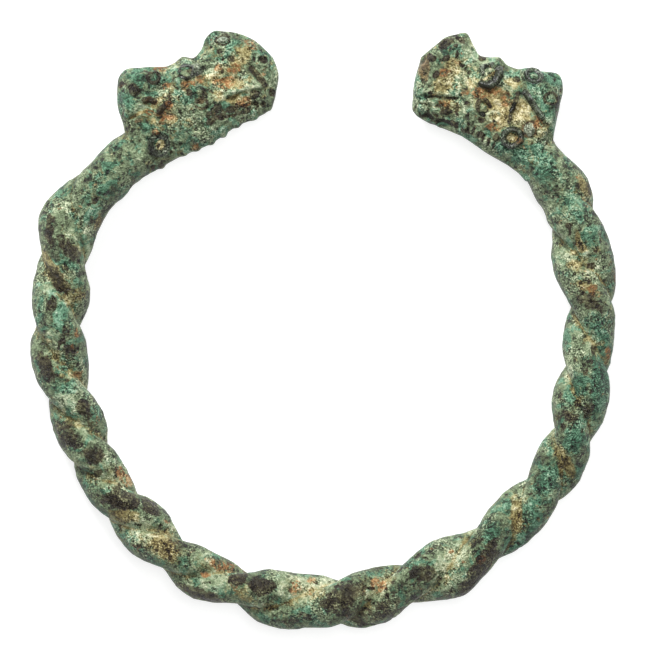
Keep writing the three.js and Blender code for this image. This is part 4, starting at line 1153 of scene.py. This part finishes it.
def cut(value, low, high):
    """0 below low, 1 above high, and smooth between."""
    settings = {"interpolation_type": "SMOOTHSTEP"}
    return web.add("ShaderNodeMapRange", settings, {"Value": value, "From Min": low, "From Max": high})


def stored(name):
    return web.add("ShaderNodeAttribute", {"attribute_name": name}, {}, give="Fac")


def patch(name):
    """A stored patch with its edge broken up by noise."""
    return cut(stored(name) + 1.4 * (ragged - 0.5), 0.32, 0.68)


def spots(size, share, shift):
    """Small spots with uneven edges, in about this share of the places for one."""
    place = web.add("ShaderNodeVectorMath", {"operation": "ADD"}, {0: here, 1: (shift, 0.3 * shift, 0)})
    sockets = {"Vector": place, "Scale": 1 / (size * MM)}
    distance = web.add("ShaderNodeTexVoronoi", {}, sockets, give="Distance")
    chance = web.add("ShaderNodeTexVoronoi", {}, sockets, give="Color")
    return cut(distance + 0.8 * (grain - 0.5), 0.38, 0.24) * cut(chance, 1 - share, 1.05 - share)


ragged = noise(1.5, 6, 0.75, shift=0.11)
clouds = noise(11, 3, 0.6, 0.6, shift=0.23)
crust = noise(3.2, 6, 0.66, 0.4, shift=0.31)
speckle = noise(1.0, 3, 0.65, shift=0.47)
grain = noise(0.42, 2, 0.6, shift=0.59)
damp = noise(3.6, 5, 0.65, 0.5, shift=0.71)
earthy = noise(3.0, 6, 0.7, 0.4, shift=0.83)
flakes = noise(2.4, 5, 0.62, 0.7, shift=0.91)
rough_skin = noise(5, 2, 0.5, shift=1.03)
folds = noise(4.2, 4, 0.6, 1.2, shift=1.13)
hollow_shade, sunk_in, creased, grooved = stored("deep"), stored("sunk"), stored("crease"), stored("groove")
print(len(web.tree.nodes), "nodes for the masks")

# %% [markdown]
# ## Light and dark in the crust
#
# Corrosion looks the same from near and from far: spots within spots. One noise with many
# octaves gives that. It is not used as a colour but as a tone, from black pits to white powder,
# and everything else only pushes the tone up or down. Soft noise alone would look like moss, so
# some masks are cut sharply: flakes where the pale crust broke off, pits, and grains of earth.

# %% The tone
patched = {name: patch(name) for name in FINISHES}
patched["rim"] = cut(stored("rim") + 0.5 * (ragged - 0.5), 0.36, 0.6)
patched["dark"] = cut(stored("dark") + 1.3 * (ragged - 0.5), 0.4, 0.58)
broken = cut(flakes - 0.03 * sunk_in - 0.06 * patched["pale"] - 0.06 * patched["cream"], 0.6, 0.635)
powder = cut(0.97 - flakes, 0.56, 0.62)
dimples = spots(1.5, 0.5, 0.37)
grains = spots(1.2, 0.4, 0.53)
vein = cut(folds, 0.47, 0.495) * cut(folds, 0.53, 0.505)
tone = 0.5 + 1.05 * (crust - 0.5) + 0.4 * (clouds - 0.5) + 0.5 * (speckle - 0.5)
tone = tone + (0.7 + 1.4 * cut(rough_skin, 0.45, 0.62)) * (grain - 0.5)
# Small hollows are painted darker and small rises lighter, as painted shade; broad hollows are paler with
# earth.
tone = tone + 0.08 * sunk_in - 0.12 * hollow_shade + 0.09 * powder - 0.24 * broken
tone = tone - 0.22 * dimples + 0.16 * grains - 0.1 * vein
# Where the dark layer or the bar's painted shade shows, no powder covers it.
uncovered = (1 - patched["dark"]) * (1 - patched["rim"])
# On the heads the tone is lifted: partly a paler crust, partly painted sheen.
pale = 0.17 * patched["pale"] + 0.1 * patched["cream"] + 0.2 * patched["mint"] + 0.07 * stored("powdery")
tone = tone + pale * uncovered - 0.04 * patched["rust"] - 0.14 * patched["brown"]
# The crease where the strands meet is painted a little darker, as painted shade; groove floors are paler with
# earth.
tone = tone - 0.06 * creased + 0.08 * grooved
tone = tone - 0.27 * patched["dark"] - 0.34 * patched["rim"] - 0.03 * patched["teal"] - 0.02
print(len(web.tree.nodes), "nodes with the tone")

# %% [markdown]
# ## The colours of the patina
#
# One tone, five scales of colour: the common green, the blue-green where it stayed damp, the
# yellow of baked-on earth, the orange of iron and the slate of bare worn metal, which also paints
# the sheen on the glossy bosses. Each is a ramp from its darkest to its palest colour, and a Mix
# node lays one over another by a mask.

# %% Colours


def scale(stops):
    """The colours from dark to pale, chosen by the tone."""
    stops = [(place, paint_colour(*rgb)) for place, rgb in stops]
    return web.add("ShaderNodeValToRGB", {"stops": stops}, {"Fac": tone})


def over(under, colour, mask):
    """One colour laid over another."""
    return web.add("ShaderNodeMix", {"data_type": "RGBA"}, {0: mask, 6: under, 7: colour}, give=2)


green = scale([(0, (24, 21, 15)), (0.22, (50, 52, 37)), (0.42, (88, 101, 74)), (0.6, (124, 141, 107)),
               (0.78, (164, 175, 143)), (1, (214, 219, 188))])
blue_green = scale([(0, (18, 24, 18)), (0.22, (36, 58, 43)), (0.42, (58, 99, 75)), (0.6, (90, 136, 109)),
                    (0.78, (134, 171, 144)), (1, (196, 213, 188))])
earth = scale([(0, (30, 22, 12)), (0.22, (70, 57, 30)), (0.42, (112, 99, 56)), (0.6, (156, 143, 93)),
               (0.78, (194, 183, 138)), (1, (226, 219, 182))])
iron = scale([(0, (34, 22, 14)), (0.22, (74, 48, 28)), (0.42, (114, 76, 42)), (0.6, (150, 104, 60)),
              (0.78, (184, 142, 94)), (1, (214, 190, 148))])
slate = scale([(0, (26, 29, 23)), (0.22, (56, 62, 51)), (0.42, (92, 100, 86)), (0.6, (130, 138, 121)),
               (0.78, (170, 178, 160)), (1, (214, 219, 204))])
colour = over(green, blue_green, 0.85 * cut(damp - 0.03 * grooved, 0.51, 0.58))
colour = over(colour, blue_green, 0.9 * patched["teal"])
colour = over(colour, earth, 0.65 * cut(earthy + 0.06 * sunk_in + 0.05 * grooved, 0.56, 0.65))
colour = over(colour, earth, 0.75 * patched["earth"])
colour = over(colour, green, 0.6 * patched["pale"])
colour = over(colour, earth, 0.85 * patched["ochre"])
colour = over(colour, earth, 0.9 * patched["cream"])
colour = over(colour, earth, 0.7 * cut(creased + 1.8 * (earthy - 0.5), 0.65, 0.95))
# Slate: bare worn metal, and painted sheen on the glossy bosses.
colour = over(colour, slate, 0.7 * patched["grey"])
colour = over(colour, green, 0.7 * patched["dark"])
colour = over(colour, iron, 0.25 * patched["dark"])
colour = over(colour, slate, 0.75 * patched["rim"])
colour = over(colour, iron, 0.5 * patched["brown"])
colour = over(colour, iron, 0.9 * patched["rust"] * cut(speckle, 0.4, 0.52))
colour = over(colour, iron, 0.75 * cut(noise(1.9, 4, 0.65, shift=0.97), 0.65, 0.7))
print(len(web.tree.nodes), "nodes with the colours")

# %% [markdown]
# ## Gloss and grain
#
# Patina is dull, but where hands wore it the old dark layer shines a little. The grain that is
# too fine for the mesh goes into a Bump node, which tilts the light on the surface and moves
# nothing.

# %% Gloss and grain
roughness = 0.36 + 0.3 * tone - 0.06 * patched["dark"] - 0.18 * patched["rim"]
grainy = 0.5 * grain + 0.8 * speckle + 1.5 * crust
grainy = grainy - 0.16 * broken - 0.2 * dimples + 0.14 * grains + 0.06 * powder
grainy = grainy * (1 - 0.8 * patched["rim"])
bump = web.add("ShaderNodeBump", {}, {"Strength": 1, "Distance": 1 * MM, "Height": grainy}, give="Normal")
web.fill(web.shader, {"Base Color": colour, "Roughness": roughness, "Normal": bump})
web.fill(web.shader, {"Specular IOR Level": 0.35})
mesh.materials.append(bronze)
print(len(web.tree.nodes), "nodes in all")

# %% [markdown]
# ## The table, the light and the camera
#
# The torc lies on plain white paper under a soft light from its heads' side, with a weaker one
# above. The paper glows a little: it then stays pure white, and throws light back up under the
# metal as in a photographer's tent. The camera hangs straight above, and far away, so that
# nothing looks nearer than it is.

# %% The paper
paper = bpy.data.materials.new("paper")
paper_web = Nodes(paper)
PAPER_GLOW = 0.75
glow = {"Emission Color": (1, 1, 1, 1), "Emission Strength": PAPER_GLOW}
paper_web.fill(paper_web.shader, {"Base Color": (0.4, 0.4, 0.4, 1), "Roughness": 0.9, **glow})
bpy.ops.mesh.primitive_plane_add(size=3)
table = bpy.context.object
table.name = "table"
table.data.materials.append(paper)
print("table:", table.name)

# %% The light
world = bpy.data.worlds.new("tent")
world.use_nodes = True
sky = world.node_tree.nodes["Background"].inputs
sky["Color"].default_value, sky["Strength"].default_value = (1, 1, 1, 1), 0.34
bpy.context.scene.world = world
bpy.context.scene.view_settings.view_transform = "Standard"


def soft_light(name, place, size, power):
    """A square lamp that faces the middle of the ring."""
    light = bpy.data.lights.new(name, "AREA")
    light.size, light.energy = size, power
    lamp = bpy.data.objects.new(name, light)
    lamp.location = place
    lamp.rotation_euler = (-Vector(place)).to_track_quat("-Z", "Y").to_euler()
    bpy.context.collection.objects.link(lamp)
    return lamp


lamps = [
    soft_light("main light", (-0.2, 0.7, 0.6), 0.35, 13),
    soft_light("top light", (0.15, 0.1, 0.9), 0.4, 3.5),
]
print("lights:", [lamp.name for lamp in lamps])

# %% The camera
LENS, SENSOR = 200, 36
FRAME_WIDTH = 155.5 * MM
view = bpy.data.cameras.new("camera")
view.lens, view.sensor_width = LENS, SENSOR
camera = bpy.data.objects.new("camera", view)
# The photo's middle is not quite the ring's.
aim = (ring_middle + (-0.14, 1.27)) * MM
camera.location = (*aim, move[2] * MM + FRAME_WIDTH * LENS / SENSOR)
bpy.context.collection.objects.link(camera)
bpy.context.scene.camera = camera
print("camera", round(camera.location.z, 3), "m up")

# %% [markdown]
# ## Bring the scene up to date
#
# The finished surface has to fill the same box as the solid that it stands for. The last line
# brings the scene up to date.

# %% Update the scene
bpy.context.view_layer.update()
